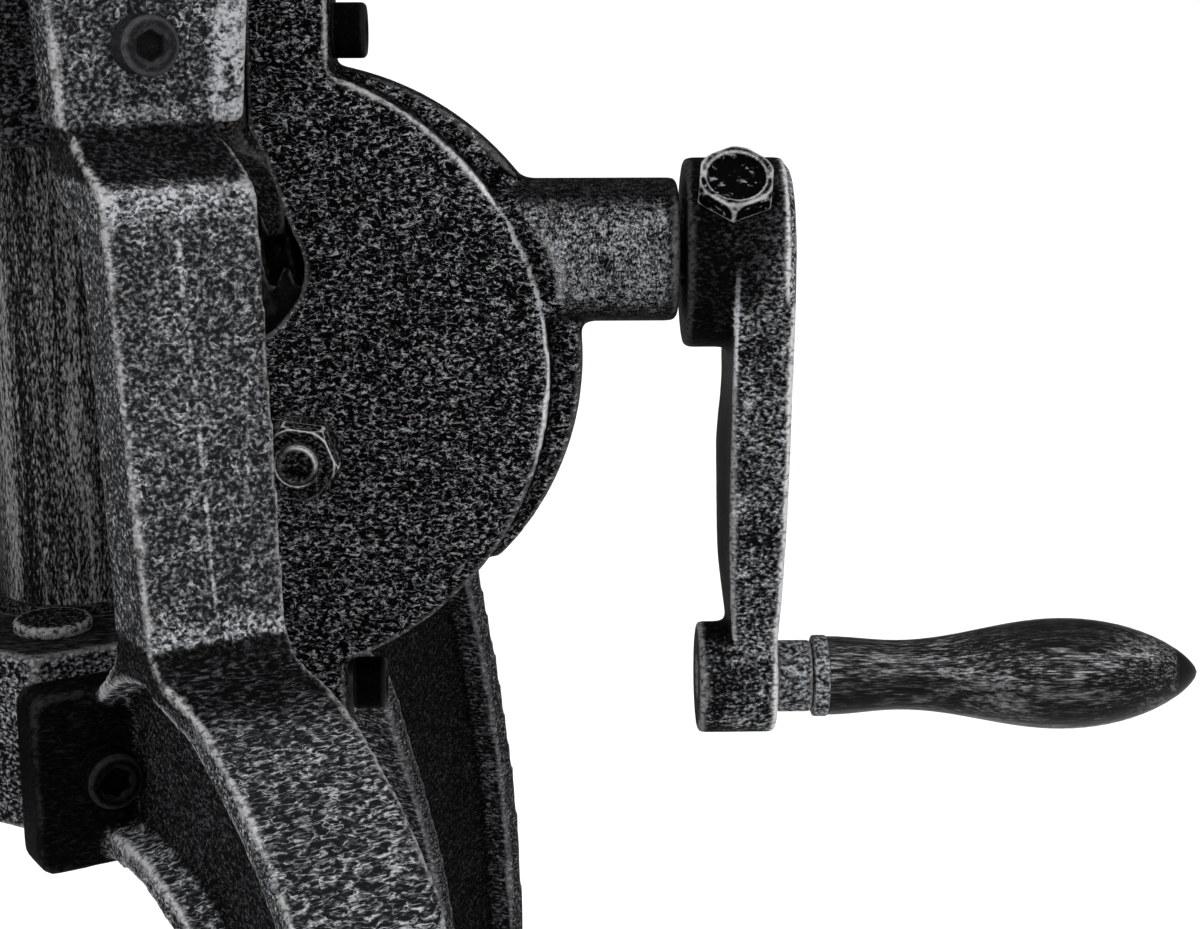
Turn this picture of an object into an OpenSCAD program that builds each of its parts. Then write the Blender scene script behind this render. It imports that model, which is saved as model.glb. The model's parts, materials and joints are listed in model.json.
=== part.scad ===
// Hand-cranked lift pedestal: three cast legs on two hexagonal hubs, a worm-driven
// gear in a bolted housing, and a rack column that the crank raises and lowers.
// +Z is up, the origin is on the floor under the column axis, and +X runs along the
// crank shaft toward the crank. Heights inside the modules are taken from the crank axis.

/* [Stand] */
// Height of the crank axis above the floor
crank_h = 400; // [380:1:460]

/* [Hubs] */
// Distance from the column axis to each flat face of the hubs
hub_inradius = 47.2; // [46.8:0.2:54]
// Height of the upper hub's underside above the crank axis
upper_hub_z = 30; // [26:1:36]
// Height of the upper hub
upper_hub_h = 44; // [42:1:56]
// Drop of the lower hub's top face below the crank axis
lower_hub_drop = 84.6; // [84:0.2:96]
// Height of the lower hub
lower_hub_h = 42; // [42:1:52]
// Inward reach of the sloping bevel on the hub rims
hub_bevel = 1.9; // [0.5:0.1:3]
// Height of the sloping bevel on the hub rims
hub_bevel_h = 4.6; // [1:0.2:6]
// Diameter of the round cover discs on the lower hub
disc_d = 18.4; // [12:0.2:18.6]
// Height of the cover discs above the hub face
disc_t = 2.8; // [1:0.1:4]
// Distance of the cover discs from the column axis
disc_offset = 30.6; // [30.6:0.2:35]

/* [Column] */
// Diameter of the lifting column
column_d = 37; // [34:0.5:38]
// Bore of the lifting column
column_bore_d = 14; // [8:0.5:16]
// Gap left between the lower hub and the stop collar at the top of the travel
stop_gap = 0.9; // [0.5:0.1:3]
// Running clearance between the column and its guide bushes, on the radius
column_fit = 0.1; // [0.05:0.01:0.2]
// Wall of the guide bushes
bush_wall = 2.4; // [2:0.1:2.8]
// Height that the guide bushes stand above the hub faces
bush_proud = 2; // [1:0.5:3]
// Height of the stop collar on the column's lower end
stop_h = 7; // [5:0.5:10]
// Diameter of the stop collar
stop_d = 45; // [44:0.5:50]
// Lowest travel from the modelled position
travel_down = 100; // [60:1:110]
// Highest travel from the modelled position
travel_up = 4; // [3:0.5:12]

/* [Top plate] */
// Diameter of the top plate
plate_d = 150; // [120:1:200]
// Thickness of the top plate
plate_t = 8; // [6:0.5:14]
// Diameter of the top plate's socket
plate_boss_d = 58; // [52:1:70]
// Depth of the top plate's socket below the plate
plate_boss_h = 20; // [20:1:30]
// Bolt circle of the holes in the top plate
plate_bolt_circle = 116; // [90:1:116]
// Diameter of the holes in the top plate
plate_hole_d = 8.5; // [5:0.5:10]
// Number of holes in the top plate
plate_holes = 4; // [3:1:8]

/* [Legs] */
// Thickness of the leg flanges on the hubs
flange_t = 12.7; // [11:0.1:16]
// Height of the upper leg flange
upper_flange_h = 35.2; // [32:0.2:40]
// Width of the upper leg flange
upper_flange_w = 44; // [38:0.5:44]
// Sideways offset of the upper leg flange from its screw
upper_flange_shift = 2.8; // [0:0.2:4]
// Height of the lower leg flange
lower_flange_h = 42.6; // [40:0.2:45]
// Width of the lower leg flange
lower_flange_w = 64; // [56:1:66]
// Width of the leg bar and its outer rim
leg_w = 33.6; // [28:0.2:36]
// Sideways offset of the leg bar from its flange screws
leg_shift = -0.4; // [-1:0.1:2]
// Distance from the column axis to the top of the bar's outer face
bar_top_r = 80; // [78:0.5:88]
// Distance from the column axis to the bottom of the bar's outer face
bar_foot_r = 95.5; // [93:0.5:104]
// Drop of the bar's top edge below the upper flange
bar_top_drop = 11.2; // [8:0.2:14]
// Height of the bar's foot above the lower hub
bar_foot_rise = 14.4; // [10:0.2:20]
// Distance from the column axis to the bar's inner face
bar_inner_r = 62; // [60:0.5:66]
// Distance from the column axis to the knee of the leg
knee_r = 161; // [152:1:172]
// Distance from the column axis to the shank of the leg
shank_r = 187.5; // [178:0.5:198]
// Height of the leg's straightest stretch above the floor
shank_h = 160; // [140:1:175]
// Depth of the leg between its outer and inner faces at the shank
shank_depth = 47; // [42:1:54]
// Thickness of the leg's outer rim
rim_t = 8; // [6:0.5:10]
// Thickness of the leg's inner rim
inner_rim_t = 6.5; // [5:0.5:9]
// Thickness of the leg's web
web_t = 17; // [12:0.5:17.5]
// Distance from the column axis to each foot
foot_r = 224; // [214:1:240]
// Diameter of each cast foot
foot_d = 46; // [40:1:56]
// Thickness of each cast foot
foot_t = 14; // [12:0.5:20]
// Diameter of the levelling feet
glide_d = 36; // [28:1:40]
// Thickness of the levelling feet
glide_t = 6; // [4:0.5:10]
// Gap between each levelling foot and the cast foot above it
glide_gap = 5; // [3:0.5:10]
// Diameter of the levelling studs
glide_stud_d = 10; // [8:0.5:12]

/* [Fasteners] */
// Diameter of the socket screws
screw_d = 8; // [6:0.5:8]
// Head diameter of the socket screws
screw_head_d = 13; // [11:0.5:14]
// Head height of the socket screws
screw_head_h = 8; // [6:0.5:9]
// Size across flats of the screws' hex sockets
screw_socket = 6; // [4:0.5:6]
// Depth that the socket screws reach into the hubs
screw_reach = 15; // [10:0.5:18]
// Height of the upper screws above the crank axis
upper_screw_z = 52; // [50:0.5:54]
// Drop of the lower screws below the crank axis
lower_screw_drop = 109.2; // [104:0.2:112]
// Sideways spacing of the paired lower leg screws
lower_screw_gap = 31.8; // [31:0.2:34]
// Thickness of the washers under the lower housing screw
washer_t = 1.2; // [0.8:0.1:2]
// Diameter of the washers
washer_d = 15; // [14:0.5:18]
// Thread diameter of the rack's and the stop's screws
small_screw_d = 5; // [4:0.5:5.5]
// Clearance round each screw, on the radius
screw_fit = 0.05; // [0.02:0.01:0.1]

/* [Gearing] */
// Module of the gear, the worm and the rack
gear_m = 2; // [1.9:0.02:2.04]
// Number of teeth on the gear
gear_z = 41; // [40:1:42]
// Tooth height above the pitch line
tooth_add = 1.8; // [1.6:0.05:1.9]
// Tooth depth below the pitch line
tooth_ded = 2.4; // [2.3:0.05:2.5]
// Thickness of the gear and rack teeth at the pitch line
tooth_w = 2.6; // [2.3:0.05:2.7]
// Thickness of the worm thread at the pitch line
thread_w = 2.2; // [1.8:0.05:2.3]
// Pitch radius of the worm
worm_r = 6.6; // [6.3:0.05:6.9]
// Face width of the gear
gear_w = 10; // [8:0.5:12]
// Side clearance between the gear's hub and each cheek
gear_side_fit = 0.4; // [0.2:0.1:1.5]
// Diameter of the gear's hub
gear_hub_d = 26; // [22:0.5:34]
// Diameter of the worm shaft's collar
collar_d = 17.2; // [16.5:0.1:18]
// Running clearance round the collar in the housing, on the radius
collar_fit = 0.8; // [0.4:0.1:1]
// Width of the rack
rack_w = 13; // [12:0.5:15]
// Depth of the rack bar below the tooth roots
rack_back = 4.5; // [3.5:0.1:5]
// Depth of the rack teeth below the column's surface
rack_sink = 0.3; // [0.2:0.05:0.5]
// Diameter of the gear axle bolt
axle_d = 10; // [8:0.5:11]
// Running clearance round the gear axle, on the radius
axle_fit = 0.05; // [0.02:0.01:0.1]
// Size across flats of the axle nut and bolt head
axle_af = 17; // [16:0.5:19]
// Height of the axle nut and bolt head
axle_nut_h = 8; // [6:0.5:10]

/* [Gear housing] */
// Thickness of the housing across its cheeks
housing_w = 26; // [25.6:0.2:30]
// Thickness of each cheek
cheek_t = 3.5; // [3:0.1:3.5]
// Depth of the housing's lugs from the hub face
lug_t = 19.5; // [15:0.5:22]
// Wall between the gear space and the outer edge of the cheeks
rim_wall = 5.2; // [4:0.1:8]
// Clearance round the gear inside the housing
gear_clear = 2.7; // [2:0.1:4]
// Thickness of the central rib
rib_w = 11; // [8:0.5:16]
// Diameter of the shaft boss
boss_d = 34.4; // [30:0.2:38]
// Length of the shaft boss beyond the rib
boss_len = 22.8; // [18:0.1:30]
// Gap between the cheeks' inner edges and the column
cheek_gap = 9; // [6:0.5:12]

/* [Crank] */
// Diameter of the crank shaft
shaft_d = 14; // [12:0.5:15]
// Running clearance round the crank shaft, on the radius
shaft_fit = 0.05; // [0.02:0.01:0.1]
// Outer diameter of the shaft bush
shaft_bush_d = 20; // [18:0.5:22]
// Gap between the boss and the crank hub
crank_gap = 1.2; // [0.4:0.1:2]
// Diameter of the crank hub
crank_hub_d = 45.6; // [40:0.2:50]
// Length of the crank hub
crank_hub_len = 24; // [22:0.5:30]
// Distance between the crank shaft and the handle
arm_len = 108.5; // [90:0.5:130]
// Thickness of the crank arm
arm_t = 14.6; // [13:0.2:17]
// Thinning of each face of the crank arm at the handle
arm_taper = 2.8; // [0:0.1:4]
// Width of the crank arm at the hub
arm_w_top = 41; // [34:0.5:44]
// Width of the crank arm at the handle
arm_w_foot = 20; // [16:1:24]
// Diameter of the handle boss
handle_boss_d = 28; // [24:0.2:32]
// Length of the handle boss
handle_boss_len = 19.6; // [18:0.1:24]
// Size across flats of the clamping screw
clamp_af = 17; // [16:0.5:18]
// Thread diameter of the clamping screw
clamp_d = 10; // [8:0.5:11]
// Head height of the clamping screw
clamp_head_h = 5.5; // [5:0.1:8]
// Angle of the clamping screw above the horizontal
clamp_angle = 46; // [20:1:60]

/* [Handle] */
// Diameter of the handle neck
neck_d = 18; // [16:0.5:19.5]
// Length of the handle neck
neck_len = 9.1; // [6:0.1:14]
// Diameter of the ferrule
ferrule_d = 20.5; // [19:0.5:24]
// Length of the ferrule
ferrule_len = 3.9; // [2.5:0.1:6]
// Diameter of the handle spindle
spindle_d = 8; // [6:0.5:9]
// Running clearance round the handle spindle, on the radius
spindle_fit = 0.06; // [0.03:0.01:0.1]
// Diameter of the grip at its ferrule end
grip_start_d = 19.8; // [18:0.2:22]
// Diameter of the grip at its waist
grip_waist_d = 17.6; // [16:0.2:20]
// Diameter of the grip at its belly
grip_belly_d = 28; // [24:0.1:34]
// Length of the grip from the ferrule to its tip
grip_len = 94.3; // [80:0.1:120]
// Length of the tip cap
grip_cap_len = 5.5; // [4:0.1:8]

/* [Hidden] */
$fn = 64;
eps = 0.01;

// Cast and machined finishes
iron = [0.16, 0.16, 0.17];
worn = [0.45, 0.45, 0.47];
steel = [0.62, 0.63, 0.65];
oxide = [0.06, 0.06, 0.07];
bronze = [0.55, 0.42, 0.22];
wood = [0.10, 0.09, 0.09];

// Gear train: the rack sets the gear's place, the gear sets the worm's
gear_r = gear_m * gear_z / 2;
tooth_pitch = PI * gear_m;
column_r = column_d / 2;
rack_x = column_r - rack_sink - tooth_add;
axle_x = rack_x + gear_r;
axle_z = -(gear_r + worm_r);
quarter = gear_z / 4 - floor(gear_z / 4);
worm_x0 = axle_x - 10.4;
collar_len = 8;
thrust_t = 1.5;

// Hubs and bushes
bush_r = column_r + column_fit + bush_wall;
hub_corner = hub_inradius / cos(30);
lower_top = -lower_hub_drop;
lower_bottom = lower_top - lower_hub_h;
upper_top = upper_hub_z + upper_hub_h;
screw_seat_leg = hub_inradius + flange_t;
screw_seat_lug = hub_inradius + lug_t;
hole_d = screw_d + 2 * screw_fit;

// Housing outline
cavity_r = gear_r + tooth_add + gear_clear;
cheek_dx = 15.6;
cheek_dz = 19.2;
cheek_x = axle_x - cheek_dx;
cheek_z = axle_z + cheek_dz;
cheek_r = norm([cheek_dx, cheek_dz]) + cavity_r + rim_wall;
rib_x = cheek_x + 12.9;
rib_z = cheek_z + 2.9;
rib_r = cheek_r - 5;
boss_end = rib_x + rib_r + boss_len;
inner_w = housing_w - 2 * cheek_t;
gear_hub_w = inner_w - 2 * gear_side_fit;
collar_r = collar_d / 2;
bay_r = collar_r + collar_fit;
// the collar starts where the gear's tips have dropped clear of it
worm_x1 = axle_x + 1.5 + sqrt(pow(gear_r + tooth_add, 2) - pow(-axle_z - collar_r, 2));
worm_len = worm_x1 - worm_x0;
bore_start = worm_x1 + collar_len + thrust_t + 0.3;

// Crank and handle stations along X
hub_x0 = boss_end + crank_gap;
hub_x1 = hub_x0 + crank_hub_len;
arm_x1 = hub_x1 + 1.7;
arm_x0 = arm_x1 - arm_t;
handle_z = -arm_len;
clamp_seat = 0.6;
clamp_z = crank_hub_d / 2 - clamp_seat + 0.05;
hboss_x1 = hub_x1 + 0.1;
hboss_x0 = hboss_x1 - handle_boss_len;
neck_x1 = hboss_x1 + neck_len;
ferrule_x0 = neck_x1 + 0.3;
grip_x0 = ferrule_x0 + ferrule_len;
grip_x1 = grip_x0 + grip_len;
cap_x0 = grip_x1 - grip_cap_len;

// Column and plate heights
plate_boss_z = upper_top + bush_proud + travel_down + 1;
plate_z = plate_boss_z + plate_boss_h;
column_top = plate_z;
stop_z = lower_bottom - travel_up - stop_gap - stop_h;
column_drop = -stop_z;

// Leg curves: cubic arcs through the shoulder, the knee, the shank and the foot
floor_z = -crank_h;
foot_z = floor_z + glide_t + glide_gap;
bar_foot_z = lower_top + bar_foot_rise;
flange_top = lower_top - hub_bevel_h;
flange_bottom = flange_top - lower_flange_h;
upper_flange_z = upper_screw_z - upper_flange_h / 2;
function bez(a, b, c, d, t) =
    a * pow(1 - t, 3) + 3 * b * t * pow(1 - t, 2) + 3 * c * t * t * (1 - t) + d * pow(t, 3);
function arc(a, b, c, d, n) = [for (i = [0 : n - 1]) bez(a, b, c, d, i / n)];
shoulder_p = [bar_foot_r, bar_foot_z];
brow_p = shoulder_p + [4, -5.5];
knee_p = [knee_r, lower_top - 29.5];
shank_p = [shank_r, floor_z + shank_h];
toe_p = [foot_r + 6, foot_z + foot_t];
outer_curve = concat([shoulder_p],
    arc(brow_p, brow_p + [21.5, -6.7], knee_p + [-11, 18], knee_p, 9),
    arc(knee_p, knee_p + [6, -18], shank_p + [-1.5, 54], shank_p, 8),
    arc(shank_p, shank_p + [0, -60], toe_p + [-20, 22], toe_p, 7),
    [toe_p]);
thigh_p = [screw_seat_leg - 2, flange_bottom + 1.8];
calf_p = [knee_r - 50, flange_bottom - 18];
ankle_p = [shank_r - shank_depth, floor_z + shank_h];
heel_p = [foot_r - 14, foot_z + foot_t];
inner_curve = concat(
    arc(thigh_p, thigh_p + [30, 5], calf_p + [-8, 22], calf_p, 8),
    arc(calf_p, calf_p + [6, -17], ankle_p + [-4, 35], ankle_p, 7),
    arc(ankle_p, ankle_p + [3, -60], heel_p + [-34, 22], heel_p, 7),
    [heel_p]);
function unit(v) = v / norm(v);
function along(p, i) = unit(p[min(i + 1, len(p) - 1)] - p[max(i - 1, 0)]);
function inset(p, d) =
    [for (i = [0 : len(p) - 1]) let (v = along(p, i)) p[i] + d * [v[1], -v[0]]];
// The bar's inner side, from the hub down to the lower flange, and the arch under its foot
inner_side = [
    [hub_inradius + 1, upper_flange_z - 10.5], [hub_inradius + 4.3, upper_flange_z - 14.6],
    [bar_inner_r - 5, upper_flange_z - 17], [bar_inner_r, upper_flange_z - 20.4],
    [bar_inner_r + 3.7, upper_flange_z - 25.8], [bar_inner_r + 4.9, upper_flange_z - 34.8],
    [bar_inner_r + 13.4, bar_foot_z - 3.1], [bar_inner_r + 11.5, bar_foot_z - 8],
    [bar_inner_r + 6, flange_top + 6.5], [screw_seat_leg - 1, flange_top - 0.5]];
foot_arch = [
    [bar_foot_r + 6, bar_foot_z - 9.8], [bar_foot_r - 2, bar_foot_z - 10.3],
    [bar_foot_r - 11, bar_foot_z - 10.9], [bar_foot_r - 20.5, bar_foot_z - 13.6],
    [bar_foot_r - 29, bar_foot_z - 18.3], [screw_seat_leg - 1, bar_foot_z - 24]];
function flip(p) = [for (i = [len(p) - 1 : -1 : 0]) p[i]];

module up() { translate([0, 0, crank_h]) children(); }
module along_x() { rotate([0, 90, 0]) children(); }
module side(w, shift = 0) {
    translate([0, shift + w / 2, 0]) rotate([90, 0, 0]) linear_extrude(height = w) children();
}
module hex(af, h) { cylinder(d = af / cos(30), h = h, $fn = 6); }
module tube(d, bore, h) {
    difference() {
        cylinder(d = d, h = h);
        translate([0, 0, -1]) cylinder(d = bore, h = h + 2);
    }
}
// Socket screw on the +X side of its seat, shank toward -X
module socket_screw(x, reach) {
    translate([x, 0, 0]) along_x() difference() {
        union() {
            cylinder(d = screw_head_d, h = screw_head_h - 0.8);
            translate([0, 0, screw_head_h - 0.8])
                cylinder(d1 = screw_head_d, d2 = screw_head_d - 1.4, h = 0.8);
            translate([0, 0, -reach]) cylinder(d = screw_d, h = reach + 1);
        }
        translate([0, 0, screw_head_h - 4]) hex(screw_socket, 5);
        translate([0, 0, screw_head_h - 0.6])
            cylinder(d1 = screw_socket + 0.6, d2 = screw_socket + 2, h = 0.7);
    }
}
module screw_hole(x0, x1) {
    translate([x0, 0, 0]) along_x() cylinder(d = hole_d, h = x1 - x0);
}

// ---- Hubs ----
module hub_block(z0, h) {
    translate([0, 0, z0]) rotate([0, 0, 30]) {
        translate([0, 0, h - hub_bevel_h])
            cylinder(r1 = hub_corner, r2 = hub_corner - hub_bevel / cos(30), h = hub_bevel_h, $fn = 6);
        cylinder(r = hub_corner, h = h - hub_bevel_h, $fn = 6);
    }
}
module hub_holes(zs, ys, angle) {
    depth = screw_reach + 2;
    for (y = ys) rotate([0, 0, angle]) translate([0, y, zs])
        screw_hole(hub_inradius - depth, hub_inradius + 1);
}
module upper_hub() {
    color(iron) up() difference() {
        hub_block(upper_hub_z, upper_hub_h);
        translate([0, 0, upper_hub_z - 1]) cylinder(r = bush_r + screw_fit, h = upper_hub_h + 2);
        for (a = [-60, 60, 180]) hub_holes(upper_screw_z, [0], a);
        hub_holes(upper_screw_z, [0], 0);
    }
}
module lower_hub() {
    color(iron) up() difference() {
        hub_block(lower_bottom, lower_hub_h);
        translate([0, 0, lower_bottom - 1]) cylinder(r = bush_r + screw_fit, h = lower_hub_h + 2);
        for (a = [-60, 60, 180])
            hub_holes(-lower_screw_drop, [-lower_screw_gap / 2, lower_screw_gap / 2], a);
        hub_holes(-lower_screw_drop, [0], 0);
        for (a = [-90, 30, 150]) rotate([0, 0, a])
            translate([disc_offset, 0, lower_top - 6]) cylinder(d = disc_d / 2, h = 7);
        // relief for the gear's lower edge
        side(gear_w + 4) translate([axle_x, axle_z]) circle(r = cavity_r, $fn = 128);
    }
}
module guide_bush(z0, h) {
    translate([0, 0, z0]) difference() {
        cylinder(r = bush_r, h = h + bush_proud);
        translate([0, 0, -1]) cylinder(r = column_r + column_fit, h = h + bush_proud + 2);
    }
}
module upper_guide_bush() { color(bronze) up() guide_bush(upper_hub_z, upper_hub_h); }
module lower_guide_bush() { color(bronze) up() guide_bush(lower_bottom, lower_hub_h); }
module cover_discs() {
    color(iron) up() for (a = [-90, 30, 150]) rotate([0, 0, a]) translate([disc_offset, 0, lower_top]) {
        cylinder(d = disc_d, h = disc_t - 0.6);
        translate([0, 0, disc_t - 0.6]) cylinder(d1 = disc_d, d2 = disc_d - 1.6, h = 0.6);
        translate([0, 0, -5]) cylinder(d = disc_d / 2 - 0.1, h = 5.5);
    }
}

// ---- Legs ----
module flange_plate(w, h, shift, z0, corner) {
    translate([hub_inradius, shift, z0 + h / 2]) along_x() linear_extrude(height = flange_t)
        union() {
            square([h - 2 * corner, w], center = true);
            square([h, w - 2 * corner], center = true);
            for (sx = [-1, 1], sy = [-1, 1])
                translate([sx * (h / 2 - corner), sy * (w / 2 - corner)]) circle(r = corner);
        }
}
module leg() {
    shoulder_z = upper_flange_z - bar_top_drop;
    difference() {
        union() {
            flange_plate(upper_flange_w, upper_flange_h, upper_flange_shift, upper_flange_z, 1.5);
            flange_plate(lower_flange_w, lower_flange_h, 0, flange_bottom, 4);
            side(leg_w, leg_shift) polygon(concat([
                [hub_inradius + 1, upper_flange_z + 2], [screw_seat_leg, upper_flange_z + 2],
                [screw_seat_leg, upper_flange_z], [bar_top_r, shoulder_z], shoulder_p],
                foot_arch, flip(inner_side)));
            side(leg_w, leg_shift)
                polygon(concat(outer_curve, flip(inset(outer_curve, rim_t))));
            side(web_t, leg_shift) polygon(concat(inset(outer_curve, 1),
                flip(inner_curve), [[screw_seat_leg - 2, flange_top - 4]]));
            side(leg_w, leg_shift)
                polygon(concat(inner_curve, flip(inset(inner_curve, -inner_rim_t))));
            translate([foot_r, 0, foot_z]) cylinder(d = foot_d, h = foot_t);
        }
        translate([0, 0, upper_screw_z]) screw_hole(hub_inradius - 1, screw_seat_leg + 1);
        for (y = [-lower_screw_gap / 2, lower_screw_gap / 2]) translate([0, y, -lower_screw_drop])
            screw_hole(hub_inradius - 1, screw_seat_leg + 1);
        translate([foot_r, 0, foot_z - 1]) cylinder(d = glide_stud_d + 0.1, h = foot_t - 2);
    }
}
module leg_front() { color(iron) up() rotate([0, 0, -60]) leg(); }
module leg_rear() { color(iron) up() rotate([0, 0, 60]) leg(); }
module leg_left() { color(iron) up() rotate([0, 0, 180]) leg(); }
module upper_leg_screws() {
    color(oxide) up() for (a = [-60, 60, 180]) rotate([0, 0, a])
        translate([0, 0, upper_screw_z]) socket_screw(screw_seat_leg, flange_t + screw_reach);
}
module lower_leg_screws() {
    color(oxide) up() for (a = [-60, 60, 180], y = [-lower_screw_gap / 2, lower_screw_gap / 2])
        rotate([0, 0, a]) translate([0, y, -lower_screw_drop])
            socket_screw(screw_seat_leg, flange_t + screw_reach);
}
module levelling_feet() {
    color(oxide) for (a = [-60, 60, 180]) rotate([0, 0, a]) translate([foot_r, 0, 0]) {
        cylinder(d1 = glide_d - 2, d2 = glide_d, h = 1);
        translate([0, 0, 1]) cylinder(d = glide_d, h = glide_t - 1);
        cylinder(d = glide_stud_d, h = glide_t + glide_gap + foot_t - 4);
        translate([0, 0, glide_t]) hex(glide_stud_d + 6, glide_gap - 0.3);
    }
}

// ---- Gear housing ----
module cheek_outline() {
    left = column_r + cheek_gap;
    lug_low = lower_top + 3;
    difference() {
        intersection() {
            translate([cheek_x, cheek_z]) circle(r = cheek_r, $fn = 128);
            translate([left, cheek_z - cheek_r]) square([cheek_r * 2, cheek_r * 2]);
        }
        // opening toward the column above the gear
        polygon([[left - 1, 60], [hub_inradius, 60], [hub_inradius, upper_hub_z + 1],
            [hub_inradius + 3, 25.5], [axle_x - 0.9, 6.9], [axle_x + 1.5, 1.5], [axle_x + 2, -1.5],
            [axle_x + 1.6, -6], [axle_x + 0.5, -9.7], [axle_x - 5.2, -16.8], [left - 1, -34]]);
        // corner over the lower hub
        polygon([[left - 1, lug_low], [hub_inradius, lug_low], [hub_inradius, lower_bottom],
            [left - 1, lower_bottom]]);
    }
}
module lug(z0, z1) {
    translate([hub_inradius, -housing_w / 2, z0]) cube([lug_t, housing_w, z1 - z0]);
}
module gear_housing() {
    color(iron) up() difference() {
        union() {
            side(housing_w) cheek_outline();
            side(rib_w) intersection() {
                translate([rib_x, rib_z]) circle(r = rib_r, $fn = 128);
                translate([rib_x + 4, rib_z - 50]) square([rib_r + 5, rib_r + 55]);
            }
            lug(upper_flange_z, upper_flange_z + upper_flange_h);
            lug(flange_bottom, lower_top - 1);
            translate([rib_x + rib_r - 20, 0, 0]) along_x() cylinder(d = boss_d, h = boss_len + 19);
            translate([boss_end - 1, 0, 0]) along_x()
                cylinder(d1 = boss_d, d2 = boss_d - 1.6, h = 1);
        }
        // gear space, open toward the column, and the worm's bay
        side(inner_w) translate([axle_x, axle_z]) circle(r = cavity_r, $fn = 128);
        translate([axle_x - 25, 0, 0]) along_x() cylinder(r = bay_r, h = bore_start - axle_x + 25);
        translate([bore_start - 1, 0, 0]) along_x()
            cylinder(d = shaft_bush_d + 2 * screw_fit, h = boss_end - bore_start + 3);
        // gear axle
        translate([axle_x, housing_w, axle_z]) rotate([90, 0, 0])
            cylinder(d = axle_d + 2 * axle_fit, h = 2 * housing_w);
        translate([0, 0, upper_screw_z]) screw_hole(hub_inradius - 1, screw_seat_lug + 1);
        translate([0, 0, -lower_screw_drop]) screw_hole(hub_inradius - 1, screw_seat_lug + 1);
    }
}
module housing_screws() {
    color(oxide) up() {
        translate([0, 0, upper_screw_z]) socket_screw(screw_seat_lug, lug_t + screw_reach);
        translate([0, 0, -lower_screw_drop])
            socket_screw(screw_seat_lug + washer_t, lug_t + washer_t + screw_reach);
    }
}
module housing_washers() {
    color(oxide) up() translate([screw_seat_lug, 0, -lower_screw_drop]) along_x()
        tube(washer_d, hole_d, washer_t);
}
module shaft_bush() {
    color(bronze) up() translate([bore_start, 0, 0]) along_x()
        tube(shaft_bush_d, shaft_d + 2 * shaft_fit, boss_end - bore_start - 0.5);
}

// ---- Crank shaft with its worm ----
// The worm is a row of rings, each a single trapezoid thread unrolled round the shaft,
// turned as a right-hand helix. Its thread lies over the gear's centre line.
thread_root = worm_r - tooth_ded;
thread_tip = worm_r + tooth_add;
tip_half = thread_w / 2 - tooth_add * tan(20);
root_half = thread_w / 2 + tooth_ded * tan(20);
function thread_radius(u) =
    u <= tip_half ? thread_tip : u >= root_half ? thread_root
    : thread_tip + (thread_root - thread_tip) * (u - tip_half) / (root_half - tip_half);
flank_u = [for (k = [0 : 4]) tip_half + (root_half - tip_half) * k / 4];
root_u = [for (k = [1 : 2]) root_half + (tooth_pitch / 2 - root_half) * k / 2];
half_u = concat([0], flank_u, root_u);
ring_u = concat(half_u, [for (k = [len(half_u) - 2 : -1 : 1]) -half_u[k]]);
worm_rings = ceil(16 * worm_len / tooth_pitch);
function worm_ring(i) =
    let (x = worm_x0 + (worm_len + 0.5) * i / worm_rings, turn = 360 * (x - axle_x) / tooth_pitch)
    [for (u = ring_u) let (a = 360 * u / tooth_pitch + turn - 90)
        [x, thread_radius(abs(u)) * cos(a), thread_radius(abs(u)) * sin(a)]];
module worm() {
    m = len(ring_u);
    n = worm_rings;
    polyhedron(points = concat([for (i = [0 : n]) each worm_ring(i)],
            [[worm_x0, 0, 0], [worm_x0 + worm_len + 0.5, 0, 0]]),
        faces = concat(
            [for (k = [0 : m - 1]) [k, (k + 1) % m, (n + 1) * m]],
            [for (k = [0 : m - 1]) [n * m + (k + 1) % m, n * m + k, (n + 1) * m + 1]],
            [for (i = [0 : n - 1], k = [0 : m - 1])
                let (a = i * m + k, b = i * m + (k + 1) % m) each [[a, a + m, b], [b, a + m, b + m]]]),
        convexity = 10);
}
module crank_shaft() {
    color(steel) up() difference() {
        union() {
            translate([worm_x1, 0, 0]) along_x() cylinder(d = shaft_d, h = hub_x1 - worm_x1 - 1);
            translate([worm_x1, 0, 0]) along_x() cylinder(r = collar_r, h = collar_len);
            worm();
        }
        // seat for the clamping screw
        clamp_place(shaft_d / 2 - 1) cylinder(d = clamp_d + 1, h = 5);
    }
}
module thrust_washer() {
    color(bronze) up() translate([worm_x1 + collar_len + 0.15, 0, 0]) along_x()
        tube(collar_d, shaft_d + 0.2, thrust_t);
}

// ---- Gear ----
function gear_points() = [for (i = [0 : gear_z - 1])
    let (c = 90 + (i + 0.5) * 360 / gear_z, d = 180 / PI,
         ht = (tooth_w / 2 - tooth_add * tan(20)) / (gear_r + tooth_add) * d,
         hr = (tooth_w / 2 + tooth_ded * tan(20)) / (gear_r - tooth_ded) * d)
    each [for (q = [[-hr, gear_r - tooth_ded], [-ht, gear_r + tooth_add],
                    [ht, gear_r + tooth_add], [hr, gear_r - tooth_ded]])
        q[1] * [cos(c + q[0]), sin(c + q[0])]]];
module drive_gear() {
    color(steel) up() translate([axle_x, 0, axle_z]) difference() {
        union() {
            side(gear_w) polygon(gear_points());
            translate([0, gear_hub_w / 2, 0]) rotate([90, 0, 0])
                cylinder(d = gear_hub_d, h = gear_hub_w);
        }
        translate([0, gear_hub_w, 0]) rotate([90, 0, 0])
            cylinder(d = axle_d + 2 * axle_fit, h = 2 * gear_hub_w);
        for (i = [0 : 5]) rotate([0, i * 60, 0]) translate([(gear_hub_d / 2 + gear_r) / 2, gear_w, 0])
            rotate([90, 0, 0]) cylinder(d = 14, h = 2 * gear_w);
    }
}
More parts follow.
